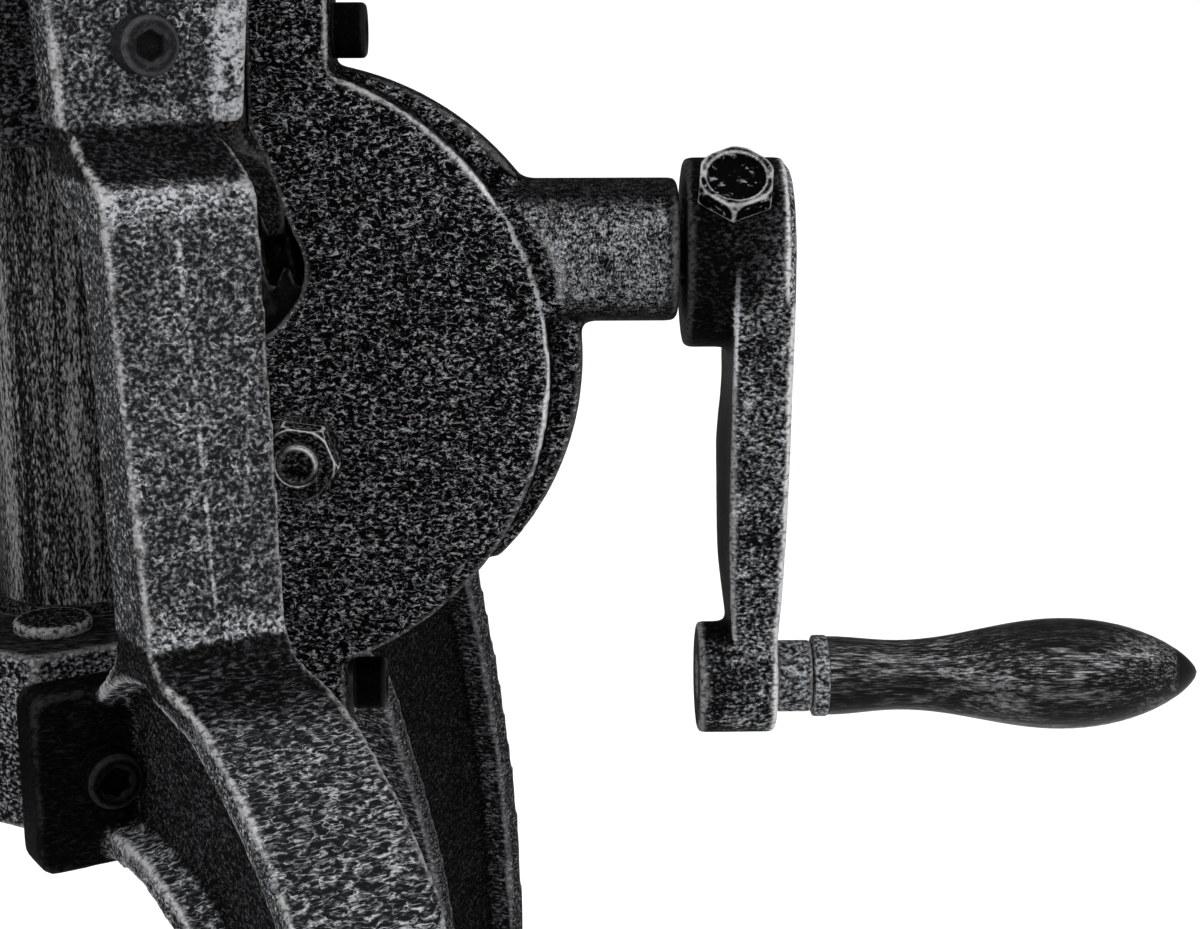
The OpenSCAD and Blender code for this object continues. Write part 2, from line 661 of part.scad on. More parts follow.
module gear_axle_bolt() {
    len = housing_w + 2 * 1.5 + axle_nut_h + 0.5;
    color(worn) up() translate([axle_x, housing_w / 2 + 1.5, axle_z]) rotate([90, 0, 0]) {
        cylinder(d = axle_d, h = len - 1);
        translate([0, 0, len - 1]) cylinder(d1 = axle_d, d2 = axle_d - 1.6, h = 1);
        translate([0, 0, -axle_nut_h + 1.6]) hex(axle_af, axle_nut_h - 1.6);
    }
}
module gear_axle_nut() {
    color(worn) up() translate([axle_x, -housing_w / 2 - 1.5, axle_z]) rotate([90, 8, 0])
        difference() {
            intersection() {
                hex(axle_af, axle_nut_h);
                translate([0, 0, -2]) cylinder(d1 = axle_af + 7, d2 = axle_af + 0.6, h = axle_nut_h + 2);
            }
            translate([0, 0, -1]) cylinder(d = axle_d + 0.1, h = axle_nut_h + 2);
        }
}
module axle_washers() {
    color(worn) up() for (s = [1, -1])
        translate([axle_x, s > 0 ? housing_w / 2 + 1.5 : -housing_w / 2, axle_z]) rotate([90, 0, 0])
            tube(axle_af + 3, axle_d + 0.1, 1.5);
}

// ---- Column ----
rack_z0 = axle_z - travel_up - 26;
rack_z1 = axle_z + travel_down + 26;
rack_root = rack_x - tooth_ded;
rack_base = rack_root - rack_back;
module rack_slot(grow) {
    translate([rack_base - grow, -rack_w / 2 - grow, rack_z0 - grow])
        cube([column_r, rack_w + 2 * grow, rack_z1 - rack_z0 + 2 * grow]);
}
module lift_column() {
    color(worn) up() difference() {
        translate([0, 0, -column_drop]) cylinder(r = column_r, h = column_top + column_drop);
        translate([0, 0, -column_drop - 1])
            cylinder(d = column_bore_d, h = column_top + column_drop + 2);
        rack_slot(0.05);
        for (z = rack_screw_z) translate([0, 0, z]) rack_screw_hole();
        translate([0, 0, stop_z + stop_h / 2]) rotate([0, 0, 180])
            translate([column_r - 3, 0, 0]) along_x() cylinder(d = small_hole_d, h = 5);
    }
}
rack_screw_z = [rack_z0 + 7, rack_z1 - 7];
small_hole_d = small_screw_d + 2 * screw_fit;
small_head_d = small_screw_d * 1.8;
module rack_screw_hole() {
    translate([2, 0, 0]) along_x() cylinder(d = small_hole_d, h = rack_base - 1);
}
function rack_points() =
    let (k0 = ceil((rack_z0 + 1 - axle_z) / tooth_pitch - quarter + 0.5),
         k1 = floor((rack_z1 - 1 - axle_z) / tooth_pitch - quarter - 0.5),
         ht = tooth_w / 2 - tooth_add * tan(20), hr = tooth_w / 2 + tooth_ded * tan(20))
    concat([[rack_base, rack_z0], [rack_root, rack_z0]],
        [for (k = [k0 : k1]) let (z = axle_z + (k + quarter) * tooth_pitch)
            each [[rack_root, z - hr], [rack_x + tooth_add, z - ht],
                  [rack_x + tooth_add, z + ht], [rack_root, z + hr]]],
        [[rack_root, rack_z1], [rack_base, rack_z1]]);
module column_rack() {
    color(steel) up() difference() {
        intersection() {
            side(rack_w) polygon(rack_points());
            translate([0, 0, rack_z0]) cylinder(r = column_r - 0.05, h = rack_z1 - rack_z0);
        }
        for (z = rack_screw_z) translate([rack_base - 1, 0, z]) along_x() {
            cylinder(d = small_hole_d, h = column_r);
            translate([0, 0, 1 + rack_back - 1.5]) cylinder(d = small_head_d + 0.2, h = column_r);
        }
    }
}
module rack_screws() {
    color(oxide) up() for (z = rack_screw_z) translate([0, 0, z]) {
        translate([3, 0, 0]) along_x() cylinder(d = small_screw_d, h = rack_base + rack_back - 3);
        translate([rack_base + rack_back - 1.5, 0, 0]) along_x() difference() {
            cylinder(d = small_head_d, h = 4);
            translate([0, 0, 2]) hex(small_screw_d * 0.6, 3);
        }
    }
}
module column_stop() {
    color(steel) up() translate([0, 0, stop_z]) difference() {
        tube(stop_d, column_d + 0.1, stop_h);
        translate([0, 0, stop_h / 2]) rotate([0, 0, 180])
            translate([column_r - 1, 0, 0]) along_x() cylinder(d = small_hole_d, h = stop_d);
    }
}
module stop_screw() {
    color(oxide) up() translate([0, 0, stop_z + stop_h / 2]) rotate([0, 0, 180])
        translate([column_r - 2, 0, 0]) along_x() difference() {
            cylinder(d = small_screw_d, h = stop_d / 2 - column_r + 1.5);
            translate([0, 0, stop_d / 2 - column_r - 0.5]) hex(small_screw_d / 2, 3);
        }
}
module plate_socket() {
    color(iron) up() difference() {
        translate([0, 0, plate_boss_z]) cylinder(d = plate_boss_d, h = plate_boss_h);
        translate([0, 0, plate_boss_z - 1]) cylinder(d = column_d + 2 * screw_fit, h = plate_boss_h + 2);
        for (a = [90, 210, 330]) rotate([0, 0, a])
            translate([column_r - 1, 0, plate_boss_z + plate_boss_h / 2])
                along_x() cylinder(d = hole_d, h = plate_boss_d);
    }
}
module top_plate() {
    color(iron) up() difference() {
        translate([0, 0, plate_z]) union() {
            cylinder(d = plate_d, h = plate_t - 1);
            translate([0, 0, plate_t - 1]) cylinder(d1 = plate_d, d2 = plate_d - 2, h = 1);
        }
        for (i = [0 : plate_holes - 1]) rotate([0, 0, 45 + i * 360 / plate_holes])
            translate([plate_bolt_circle / 2, 0, plate_z - 1]) cylinder(d = plate_hole_d, h = plate_t + 2);
    }
}
module top_plate_screws() {
    color(oxide) up() for (a = [90, 210, 330]) rotate([0, 0, a])
        translate([column_r + 0.02, 0, plate_boss_z + plate_boss_h / 2]) along_x() difference() {
            cylinder(d = screw_d, h = plate_boss_d / 2 - column_r - 0.5);
            translate([0, 0, plate_boss_d / 2 - column_r - 4]) hex(screw_d / 2, 5);
        }
}

// ---- Crank ----
module clamp_place(r) {
    translate([hub_x0 + 11.3, 0, 0]) rotate([90 - clamp_angle, 0, 0]) translate([0, 0, r]) children();
}
module arm_side() {
    n = 12;
    crown = arm_w_top / 2 + 1;
    polygon(concat([[arm_x1, crown]],
        [for (i = [0 : n]) [arm_x1 - arm_taper * pow(i / n, 4), handle_z * i / n]],
        [for (i = [n : -1 : 0]) [arm_x0 + arm_taper * pow(i / n, 6), handle_z * i / n]],
        [[arm_x0, crown]]));
}
module arm_front() {
    polygon(concat([for (a = [0 : 7.5 : 180]) arm_w_top / 2 * [cos(a), sin(a)]],
        [[-arm_w_foot / 2, handle_z], [arm_w_foot / 2, handle_z]]));
}
module crank_arm() {
    color(worn) up() difference() {
        union() {
            translate([hub_x0, 0, 0]) along_x() cylinder(d = crank_hub_d, h = crank_hub_len);
            intersection() {
                side(arm_w_top + 2) arm_side();
                translate([arm_x0 - 1, 0, 0]) rotate([90, 0, 90])
                    linear_extrude(height = arm_t + 2) arm_front();
            }
            translate([hboss_x0, 0, handle_z]) along_x()
                cylinder(d = handle_boss_d, h = handle_boss_len);
        }
        translate([hub_x0 - 1, 0, 0]) along_x() cylinder(d = shaft_d + 0.1, h = crank_hub_len + 4);
        translate([hboss_x0 - 1, 0, handle_z]) along_x()
            cylinder(d = spindle_d + 0.1, h = handle_boss_len + 4);
        clamp_place(0) cylinder(d = clamp_d + 0.1, h = crank_hub_d);
        clamp_place(crank_hub_d / 2 - clamp_seat) cylinder(d = clamp_af / cos(30) + 1, h = 6);
    }
}
module clamp_screw() {
    color(steel) up() clamp_place(0) difference() {
        union() {
            translate([0, 0, shaft_d / 2 - 1 + 0.05])
                cylinder(d = clamp_d, h = crank_hub_d / 2 - shaft_d / 2);
            intersection() {
                translate([0, 0, clamp_z]) rotate([0, 0, 24]) hex(clamp_af, clamp_head_h);
                translate([0, 0, clamp_z - 1.5])
                    cylinder(d1 = clamp_af + 8, d2 = clamp_af + 0.4, h = clamp_head_h + 1.6);
            }
        }
        translate([0, 0, clamp_z + clamp_head_h - 1.6])
            cylinder(d1 = clamp_af - 4.4, d2 = clamp_af - 2.8, h = 1.8);
    }
}

// ---- Handle ----
module handle_spindle() {
    color(steel) up() translate([0, 0, handle_z]) {
        translate([hboss_x0 + 0.5, 0, 0]) along_x()
            cylinder(d = spindle_d, h = grip_x0 + grip_len * 0.62 - hboss_x0 - 0.5);
        translate([grip_x0 + 0.4, 0, 0]) along_x() cylinder(d = spindle_d + 4, h = 2.2);
    }
}
module handle_neck() {
    color(worn) up() translate([hboss_x1, 0, handle_z]) along_x()
        tube(neck_d, spindle_d + 0.1, neck_len);
}
module handle_ferrule() {
    color(wood) up() translate([ferrule_x0, 0, handle_z]) along_x()
        tube(ferrule_d, spindle_d + 2 * spindle_fit, ferrule_len);
}
// Half-diameter of the grip at distance s from the ferrule
function ease(u) = (1 - cos(180 * u)) / 2;
waist_s = grip_len * 0.19;
belly_s = grip_len * 0.633;
function grip_radius(s) =
    s < waist_s ? grip_start_d / 2 + (grip_waist_d - grip_start_d) / 2 * ease(s / waist_s)
    : s < belly_s ? grip_waist_d / 2
        + (grip_belly_d - grip_waist_d) / 2 * ease((s - waist_s) / (belly_s - waist_s))
    : grip_belly_d / 2 * pow(max(0, 1 - pow((s - belly_s) / (grip_len - belly_s), 2)), 0.68);
module grip_solid(s0, s1, n) {
    translate([grip_x0, 0, handle_z]) along_x() rotate_extrude() polygon(concat([[0, s0]],
        [for (i = [0 : n]) let (s = s0 + (s1 - s0) * i / n) if (grip_radius(s) > 0) [grip_radius(s), s]],
        [[0, s1]]));
}
module handle_grip() {
    color(wood) up() difference() {
        grip_solid(0, grip_len - grip_cap_len, 30);
        translate([grip_x0 - 1, 0, handle_z]) along_x() {
            cylinder(d = spindle_d + 2 * spindle_fit, h = grip_len * 0.62 + 2);
            cylinder(d = spindle_d + 4.6, h = 4);
        }
    }
}
module grip_cap() {
    color(oxide) up() grip_solid(grip_len - grip_cap_len, grip_len, 8);
}

upper_hub();
lower_hub();
upper_guide_bush();
lower_guide_bush();
cover_discs();
leg_front();
leg_rear();
leg_left();
upper_leg_screws();
lower_leg_screws();
levelling_feet();
gear_housing();
housing_screws();
housing_washers();
shaft_bush();
crank_shaft();
thrust_washer();
drive_gear();
gear_axle_bolt();
gear_axle_nut();
axle_washers();
lift_column();
column_rack();
rack_screws();
column_stop();
stop_screw();
plate_socket();
top_plate();
top_plate_screws();
crank_arm();
clamp_screw();
handle_spindle();
handle_neck();
handle_ferrule();
handle_grip();
grip_cap();
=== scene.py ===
import bpy, bmesh, json, math
import numpy as np
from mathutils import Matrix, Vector


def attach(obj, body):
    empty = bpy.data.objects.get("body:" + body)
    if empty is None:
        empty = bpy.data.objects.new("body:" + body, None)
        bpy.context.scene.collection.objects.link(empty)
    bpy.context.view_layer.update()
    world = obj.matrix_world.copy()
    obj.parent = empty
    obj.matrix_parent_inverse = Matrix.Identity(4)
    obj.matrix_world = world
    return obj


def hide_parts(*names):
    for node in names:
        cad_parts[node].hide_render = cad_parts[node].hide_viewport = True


# A hand-cranked lift pedestal, dressed round its CAD frame. Metres: +X along the crank's axis, +Y away from the
# viewer, +Z up, with the origin on the floor under the column.
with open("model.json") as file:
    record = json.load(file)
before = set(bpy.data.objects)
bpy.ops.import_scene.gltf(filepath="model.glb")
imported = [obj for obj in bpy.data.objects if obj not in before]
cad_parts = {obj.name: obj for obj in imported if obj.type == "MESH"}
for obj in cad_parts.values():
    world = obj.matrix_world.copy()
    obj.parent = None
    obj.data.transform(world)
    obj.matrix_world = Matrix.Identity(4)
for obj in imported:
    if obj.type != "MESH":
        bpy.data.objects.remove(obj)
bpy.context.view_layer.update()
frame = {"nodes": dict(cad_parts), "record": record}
scene = bpy.context.scene
record = frame["record"]
body_of_node = {n: b for b, ns in record["behaviour"]["bodies"].items() for n in ns}
node_slot = {p["node"]: p["material_slot"] for p in record["subparts"]}

mm = 0.001
TO_MM = 1000
CRANK_H = 0.4                             # height of the crank axis
AXIS = np.array((0.0, 0.0, CRANK_H))      # where the crank axis meets the column's
RIM_X, RIM_V, RIM_R = 41.8, -28.4, 75.44  # the cheek's round edge: centre from AXIS, and radius (mm)
ARM_EDGE = 0.1608                         # x of the crank arm's front edge on the column's side
GRIP_H, GRIP_R = 0.2915, 0.014            # the grip's axis height, and its largest radius
CAP_START, CAP_FULL = 0.2735, 0.2750      # x over which the grip's end cap begins

MERGE = 0.00002                           # CAD points closer than this are one point
RELAX = 0.5                               # share of the way to its neighbours' mean a point moves in a round
HOLLOW = 0.00001                          # inside corners are filled where a point lies this far below the mean
FILL, SETTLE = 0.55, 0.04                 # share moved there, and elsewhere

CLUMP = 0.15                              # how far the coarse grain moves the fine grain's level
WARP = 0.0007                             # how far the grain's pattern is pulled about
RELIEF = 0.6                              # bump strength of the painted grain
METAL, SPEC = 0.25, 0.008                 # metalness of the rubbed silver, and the paint's own gloss


# ------------------------------------------------------------------ node-tree helpers
class Mat:
    """A small writer for procedural materials."""

    def __init__(self, name):
        self.m = bpy.data.materials.new(name)
        self.m.use_nodes = True
        self.t = self.m.node_tree
        self.bsdf = self.t.nodes["Principled BSDF"]

    def put(self, kind, ins=None, **props):
        """A new node with these properties, and values or links in its inputs."""
        n = self.t.nodes.new(kind)
        for k, v in props.items():
            setattr(n, k, v)
        for k, v in (ins or {}).items():
            self.set(n.inputs[k], v)
        return n

    def set(self, socket, v):
        if isinstance(v, bpy.types.NodeSocket):
            self.t.links.new(v, socket)
        else:
            socket.default_value = v

    # numbers
    def math(self, op, a, b=0.0, c=0.0, clamp=False):
        return self.put("ShaderNodeMath", {0: a, 1: b, 2: c}, operation=op, use_clamp=clamp).outputs[0]

    def add(self, a, b):
        return self.math("ADD", a, b)

    def sub(self, a, b):
        return self.math("SUBTRACT", a, b)

    def mul(self, a, *more, clamp=False):
        """The product of all the values. The clamp is meant for two values."""
        for k in more:
            a = self.math("MULTIPLY", a, k, clamp=clamp)
        return a

    def mad(self, a, gain, offset):
        return self.math("MULTIPLY_ADD", a, gain, offset)

    def max(self, a, b):
        return self.math("MAXIMUM", a, b)

    def abs(self, a):
        return self.math("ABSOLUTE", a)

    def power(self, a, b):
        return self.math("POWER", a, b)

    def invert(self, v):
        return self.sub(1.0, v)

    def vary(self, base, noise, amount):
        """The base, moved up and down by a noise whose middle is 0.5."""
        return self.mad(self.sub(noise, 0.5), amount, base)

    def ramp(self, v, lo, hi, a=0.0, b=1.0, smooth=True):
        """Goes from a to b as v goes from lo to hi."""
        n = self.put("ShaderNodeMapRange", {"Value": v, "From Min": lo, "From Max": hi, "To Min": a, "To Max": b})
        n.interpolation_type = "SMOOTHSTEP" if smooth else "LINEAR"
        return n.outputs[0]

    def line(self, v, middle, outer_rub_and_highlight, inner):
        """1 where v is within inner of the middle, and 0 beyond outer."""
        return self.ramp(self.abs(self.sub(v, middle)), outer_rub_and_highlight, inner)

    # vectors
    def vmath(self, op, a, b=(0, 0, 0)):
        n = self.put("ShaderNodeVectorMath", {0: a, 1: b}, operation=op)
        return n.outputs["Value" if op == "LENGTH" else "Vector"]

    def combine(self, x, y=0.0, z=0.0):
        return self.put("ShaderNodeCombineXYZ", {0: x, 1: y, 2: z}).outputs[0]

    def split(self, v):
        x = self.put("ShaderNodeSeparateXYZ", {0: v})
        return x.outputs[0], x.outputs[1], x.outputs[2]

    def coords(self, rot=(0, 0, 0), scale=(1, 1, 1)):
        tc = self.put("ShaderNodeTexCoord")
        return self.put("ShaderNodeMapping", {"Vector": tc.outputs["Object"], "Rotation": rot,
                                              "Scale": scale}).outputs[0]

    def xyz(self):
        return self.split(self.put("ShaderNodeTexCoord").outputs["Object"])

    def attr(self, name):
        return self.put("ShaderNodeAttribute", attribute_name=name).outputs["Fac"]

    def attrv(self, name):
        return self.split(self.put("ShaderNodeAttribute", attribute_name=name).outputs["Vector"])

    def noise(self, vec, scale, detail=2.0, rough=0.5, distort=0.0, out="Fac"):
        return self.put("ShaderNodeTexNoise", {"Vector": vec, "Scale": scale, "Detail": detail, "Roughness": rough,
                                               "Distortion": distort}).outputs[out]

    def wobble(self, vec, scale, amount):
        """A vector noise to add to coordinates."""
        v = self.vmath("SUBTRACT", self.noise(vec, scale, out="Color"), (0.5, 0.5, 0.5))
        return self.put("ShaderNodeVectorMath", {0: v, "Scale": amount}, operation="SCALE").outputs[0]

    # surface
    def mix(self, f, a, b, blend="MIX"):
        return self.put("ShaderNodeMix", {0: f, 6: a, 7: b}, data_type="RGBA", blend_type=blend).outputs[2]

    def bump(self, h, strength, dist):
        return self.put("ShaderNodeBump", {"Height": h, "Strength": strength, "Distance": dist}).outputs[0]

    def out(self, color, rough, metal, normal=None, spec=None):
        b = self.bsdf
        self.set(b.inputs["Base Color"], color)
        self.set(b.inputs["Roughness"], rough)
        self.set(b.inputs["Metallic"], metal)
        if normal is not None:
            self.set(b.inputs["Normal"], normal)
        if spec is not None:
            b.inputs["Specular IOR Level"].default_value = spec
        return self.m


def antique(name, grain=1200.0, black=0.001, silver=0.14, lo=0.33, hi=0.72, patch=0.10, patch_scale=30.0,
            stretch=(0.75, 0.75, 1.1), edge=0.38, edge_at=(0.17, 0.40), edge_noise=0.30, depth=0.0007,
            extra=None, field=None, power=2.0, broken=0.65, worm=0.0, vein=0.0, vein_scale=250.0):
    """Black cast paint with silver rubbed over its raised grain and along its worn edges, and painted shade in its
    inside corners.

    black, silver and edge are the greys of the paint, the rubbed grain and the rubbed edges. lo and hi are the
    levels at which the grain's silver begins and is full. edge_at is the same for the proudness stored in the mesh.
    broken is the share of an edge's silver that bits of paint interrupt. extra changes the grain's level, and
    field gives the amounts of rubbed grain and of rubbed edge over the piece, with painted shade and painted
    highlight folded into them.
    """
    m = Mat(name)
    p = m.coords()
    q = m.vmath("ADD", m.coords(scale=stretch), m.wobble(p, 500.0, WARP))
    level = m.vary(m.noise(q, grain, 3.0, 0.55, 0.2), m.noise(q, grain * 0.35), CLUMP)
    level = m.vary(level, m.noise(p, patch_scale, 3.0, 0.6), patch)
    if worm:  # thin crescents of bare metal round the grain
        crescent = m.line(m.noise(q, grain * 0.85, 1.5, 0.5, 0.5), 0.5, 0.055, 0.0)
        level = m.mad(crescent, worm, level)
    if vein:  # a broken network of fine raised lines
        net = m.line(m.noise(q, vein_scale, 3.0, 0.55, 0.3), 0.5, 0.028, 0.004)
        level = m.add(level, m.mul(net, m.ramp(m.noise(p, vein_scale * 0.7), 0.46, 0.60), vein))
    if extra:
        level = extra(m, level)

    mask = m.power(m.ramp(level, lo, hi), power)
    fine = m.noise(p, 3200.0, 2.0, 0.6)
    mask = m.mul(mask, m.mad(fine, 0.8, 0.6), clamp=True)
    deep = (black * 0.95, black, black * 1.06, 1)
    if field:
        amount, wear_and_highlight = field(m)
        mask = m.mul(mask, amount)
        # where a field gives little silver the black goes deeper too, so the fields' painted shade darkens the
        # paint
        deep = m.mix(m.mul(amount, 1.2, clamp=True), (0.0008, 0.0008, 0.0009, 1), deep)
    col = m.mix(mask, deep, (silver * 0.97, silver, silver * 1.04, 1))

    w = m.attr("proudness")
    ragged = m.add(m.sub(m.noise(p, 650.0, 3.0, 0.65), 0.5), m.sub(m.noise(p, 70.0), 0.5))
    rub_and_highlight = m.ramp(m.mad(ragged, edge_noise, w), *edge_at)
    rub_and_highlight = m.mul(rub_and_highlight, m.mad(fine, 0.7, 0.45), clamp=True)
    bits = m.ramp(m.noise(q, grain * 0.8), 0.34, 0.56)
    rub_and_highlight = m.mul(rub_and_highlight, m.mad(bits, broken, 1.0 - broken))
    if field:
        # the field's edge amount brings the rub of the edges and, on some pieces, painted highlight
        rub_and_highlight = m.mul(rub_and_highlight, wear_and_highlight, clamp=True)
    col = m.mix(rub_and_highlight, col, (edge, edge, edge * 1.01, 1))
    inside = m.ramp(w, -0.35, -0.05, 0.3, 1.0)   # painted shade: the colour is darkened in the inside corners
    col = m.mix(1.0, col, inside, blend="MULTIPLY")

    shine = m.max(mask, rub_and_highlight)
    return m.out(col, m.ramp(shine, 0.0, 1.0, 0.62, 0.45, smooth=False), m.mul(shine, METAL),
                 m.bump(m.mad(fine, 0.06, level), RELIEF, depth), spec=SPEC)


# ------------------------------------------------------------------ mesh helpers
def link(ob):
    scene.collection.objects.link(ob)
    return ob


def smooth_normals(me):
    me.polygons.foreach_set("use_smooth", [True] * len(me.polygons))


def numbers(items, name, count, kind=float):
    """One property of all the items of a mesh, as a flat array."""
    out = np.empty(count, kind)
    items.foreach_get(name, out)
    return out


def points(me):
    return numbers(me.vertices, "co", len(me.vertices) * 3).reshape(-1, 3)


def store(me, name, values):
    """Keeps a number or a vector for each point, for the materials to read."""
    kind, field = ("FLOAT", "value") if values.ndim == 1 else ("FLOAT_VECTOR", "vector")
    if name not in me.attributes:
        me.attributes.new(name, kind, "POINT")
    me.attributes[name].data.foreach_set(field, values.astype(np.float32).ravel())


def relax(co, ed, deg):
    """The step from each point to the mean of its neighbours."""
    s = np.empty_like(co)
    for k in range(3):
        s[:, k] = (np.bincount(ed[:, 0], co[ed[:, 1], k], len(co))
                   + np.bincount(ed[:, 1], co[ed[:, 0], k], len(co)))
    return s / deg[:, None] - co


def vertex_normals(me, co):
    """Normals of a mesh of triangles and quads, as it would be with these points."""
    start = numbers(me.polygons, "loop_start", len(me.polygons), np.int64)
    total = numbers(me.polygons, "loop_total", len(me.polygons), np.int64)
    vi = numbers(me.loops, "vertex_index", len(me.loops), np.int64)
    a, b, c, d = vi[start], vi[start + 1], vi[start + 2], vi[start + np.minimum(3, total - 1)]
    fn = np.cross(co[c] - co[a], co[d] - co[b])
    out = np.zeros_like(co)
    for corner in (a, b, c, d):
        for k in range(3):
            out[:, k] += np.bincount(corner, fn[:, k], len(co))
    return out / np.maximum(np.linalg.norm(out, axis=1), 1e-12)[:, None]


def soften(me, rounds, fillet, wear_rounds):
    """Rounds a voxel mesh's edges and fills its inside corners.

    It stores each point's normal as n0, and how far the point stands proud of its surroundings as proudness (mm).
    """
    co = points(me)
    ed = numbers(me.edges, "vertices", len(me.edges) * 2, np.int64).reshape(-1, 2)
    deg = np.maximum(np.bincount(ed.ravel(), minlength=len(co)), 1).astype(float)
    for _ in range(rounds):
        co += RELAX * relax(co, ed, deg)
    for k in range(fillet):
        if k % 4 == 0:  # the normals change slowly
            nr = vertex_normals(me, co)
        d = relax(co, ed, deg)
        co += np.where(np.einsum("ij,ij->i", d, nr) > HOLLOW, FILL, SETTLE)[:, None] * d
    far = co.copy()
    for _ in range(wear_rounds):
        far += RELAX * relax(far, ed, deg)
    nr = vertex_normals(me, co)
    me.vertices.foreach_set("co", co.ravel())
    store(me, "n0", nr)
    store(me, "proudness", np.einsum("ij,ij->i", co - far, nr) * TO_MM)
    me.update()
    return co


def smoothstep(v, a, b):
    t = np.clip((v - a) / (b - a), 0.0, 1.0)
    return t * t * (3.0 - 2.0 * t)


def voxel_mesh(node, voxel):
    """A CAD node's mesh, merged and made anew from even voxels (mm)."""
    bm = bmesh.new()
    bm.from_mesh(frame["nodes"][node].data)
    bmesh.ops.remove_doubles(bm, verts=bm.verts, dist=MERGE)
    me = bpy.data.meshes.new(node + "_src")
    bm.to_mesh(me)
    bm.free()
    tmp = link(bpy.data.objects.new(node + "_src", me))
    md = tmp.modifiers.new("remesh", "REMESH")
    md.mode, md.voxel_size, md.adaptivity = "VOXEL", voxel * mm, 0
    out = bpy.data.meshes.new_from_object(tmp.evaluated_get(bpy.context.evaluated_depsgraph_get()))
    bpy.data.objects.remove(tmp)
    bpy.data.meshes.remove(me)
    out.name = node + "_cast"
    return out


def turned(v, degrees):
    """Points or directions, seen from a frame that is turned about the vertical."""
    c, s = math.cos(math.radians(degrees)), math.sin(math.radians(degrees))
    return np.stack([v[:, 0] * c + v[:, 1] * s, v[:, 1] * c - v[:, 0] * s, v[:, 2]], 1)


def cast(node, mat, voxel, rounds, fillet=0, wear_rounds=10, turn=None, shape=None, first=None):
    """A cast piece with rounded edges, made from its CAD node's mesh.

    first moves the points before the rounding, and shape moves them after it. Both work in mm from the crank
    axis. With turn, shape works in a leg's own frame: outward, sideways and up. It is stored as own.
    """
    me = voxel_mesh(node, voxel)
    if first:
        me.vertices.foreach_set("co", (first((points(me) - AXIS) * TO_MM) / TO_MM + AXIS).ravel())
    own = soften(me, rounds, fillet, wear_rounds) - AXIS
    if turn is not None:
        own = turned(own, turn)
        store(me, "own", own * TO_MM)
        n0 = numbers(me.attributes["n0"].data, "vector", len(own) * 3).reshape(-1, 3)
        store(me, "n0", turned(n0, turn))
    if shape:
        own = shape(own * TO_MM) / TO_MM
        if turn is not None:
            own = turned(own, -turn)
        me.vertices.foreach_set("co", (own + AXIS).ravel())
        me.update()
    me.materials.clear()
    me.materials.append(mat)
    smooth_normals(me)
    ob = link(bpy.data.objects.new(node + "_cast", me))
    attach(ob, body_of_node[node])
    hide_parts(node)


# ------------------------------------------------------------------ camera, light, floor
# The lens, the place and the tilt are fitted to measured points of the photograph.
cam = bpy.data.cameras.new("camera")
cam.lens, cam.sensor_width, cam.clip_start = 69.06, 36.0, 0.01
cam_ob = link(bpy.data.objects.new("camera", cam))
cam_ob.location = (0.1140, -0.5502, 0.4816)
cam_ob.rotation_euler = (math.radians(90 - 13.77), 0, math.radians(-1.6))  # looks down, and a little to the right
scene.camera = cam_ob
scene.view_settings.view_transform = "Standard"
scene.view_settings.look = "None"


def studio_world():
    """White light from all round, brightest from above on the camera's left."""
    world = bpy.data.worlds.new("studio")
    scene.world = world
    world.use_nodes = True
    nodes, links = world.node_tree.nodes, world.node_tree.links
    dot = nodes.new("ShaderNodeVectorMath")
    dot.operation = "DOT_PRODUCT"
    links.new(nodes.new("ShaderNodeTexCoord").outputs["Generated"], dot.inputs[0])
    dot.inputs[1].default_value = Vector((-0.50, -0.48, 0.72)).normalized()
    rng = nodes.new("ShaderNodeMapRange")
    rng.interpolation_type = "SMOOTHSTEP"
    links.new(dot.outputs["Value"], rng.inputs["Value"])
    for k, v in (("From Min", -0.20), ("From Max", 1.0), ("To Min", 0.22), ("To Max", 1.95)):
        rng.inputs[k].default_value = v
    links.new(rng.outputs[0], nodes["Background"].inputs["Strength"])
    nodes["Background"].inputs["Color"].default_value = (1, 1, 1, 1)


def area(name, loc, aim, size, power):
    light = bpy.data.lights.new(name, "AREA")
    light.energy, light.size = power, size
    ob = link(bpy.data.objects.new(name, light))
    ob.location = loc
    ob.rotation_euler = (Vector(aim) - Vector(loc)).to_track_quat("-Z", "Y").to_euler()


def studio_floor(half=120.0):
    m = Mat("floor_paint")
    m.out(m.mix(m.noise(m.coords(), 3.0, 3.0), (0.93, 0.93, 0.93, 1), (0.96, 0.96, 0.96, 1)), 0.8, 0.0)
    bm = bmesh.new()
    bm.faces.new([bm.verts.new((x * half, y * half, 0)) for x, y in ((-1, -1), (1, -1), (1, 1), (-1, 1))])
    me = bpy.data.meshes.new("studio_floor")
    bm.to_mesh(me)
    bm.free()
    me.materials.append(m.m)
    smooth_normals(me)
    return link(bpy.data.objects.new("studio_floor", me))


studio_world()
area("key_soft", (-0.9, -1.1, 1.2), (0.05, 0, 0.38), 0.5, 5)
area("rim_soft", (1.3, -0.2, 0.9), (0.1, 0, 0.35), 0.5, 3)
floor = studio_floor()


# ------------------------------------------------------------------ where the silver lies
# Each field gives two amounts over a piece, of rubbed grain and of rubbed edge. x, y and z are in metres and v is
# the height from the crank axis. In a leg's own frame r, t and z are in mm.
# Several fields also fold painted shade and painted highlight into these amounts.
def top_face(m, nz):
    return m.ramp(nz, 0.80, 0.97)


def lower_hub_only(m, z):
    return m.ramp(z, CRANK_H, 0.38)


def hub_bevel(m, nz):
    return m.mul(m.ramp(nz, 0.10, 0.30), m.invert(top_face(m, nz)))


def beyond_corner(m, x):
    """The lower hub's side away from the crank, past the corner beside the front leg."""
    return m.ramp(x, -0.0255, -0.0285)


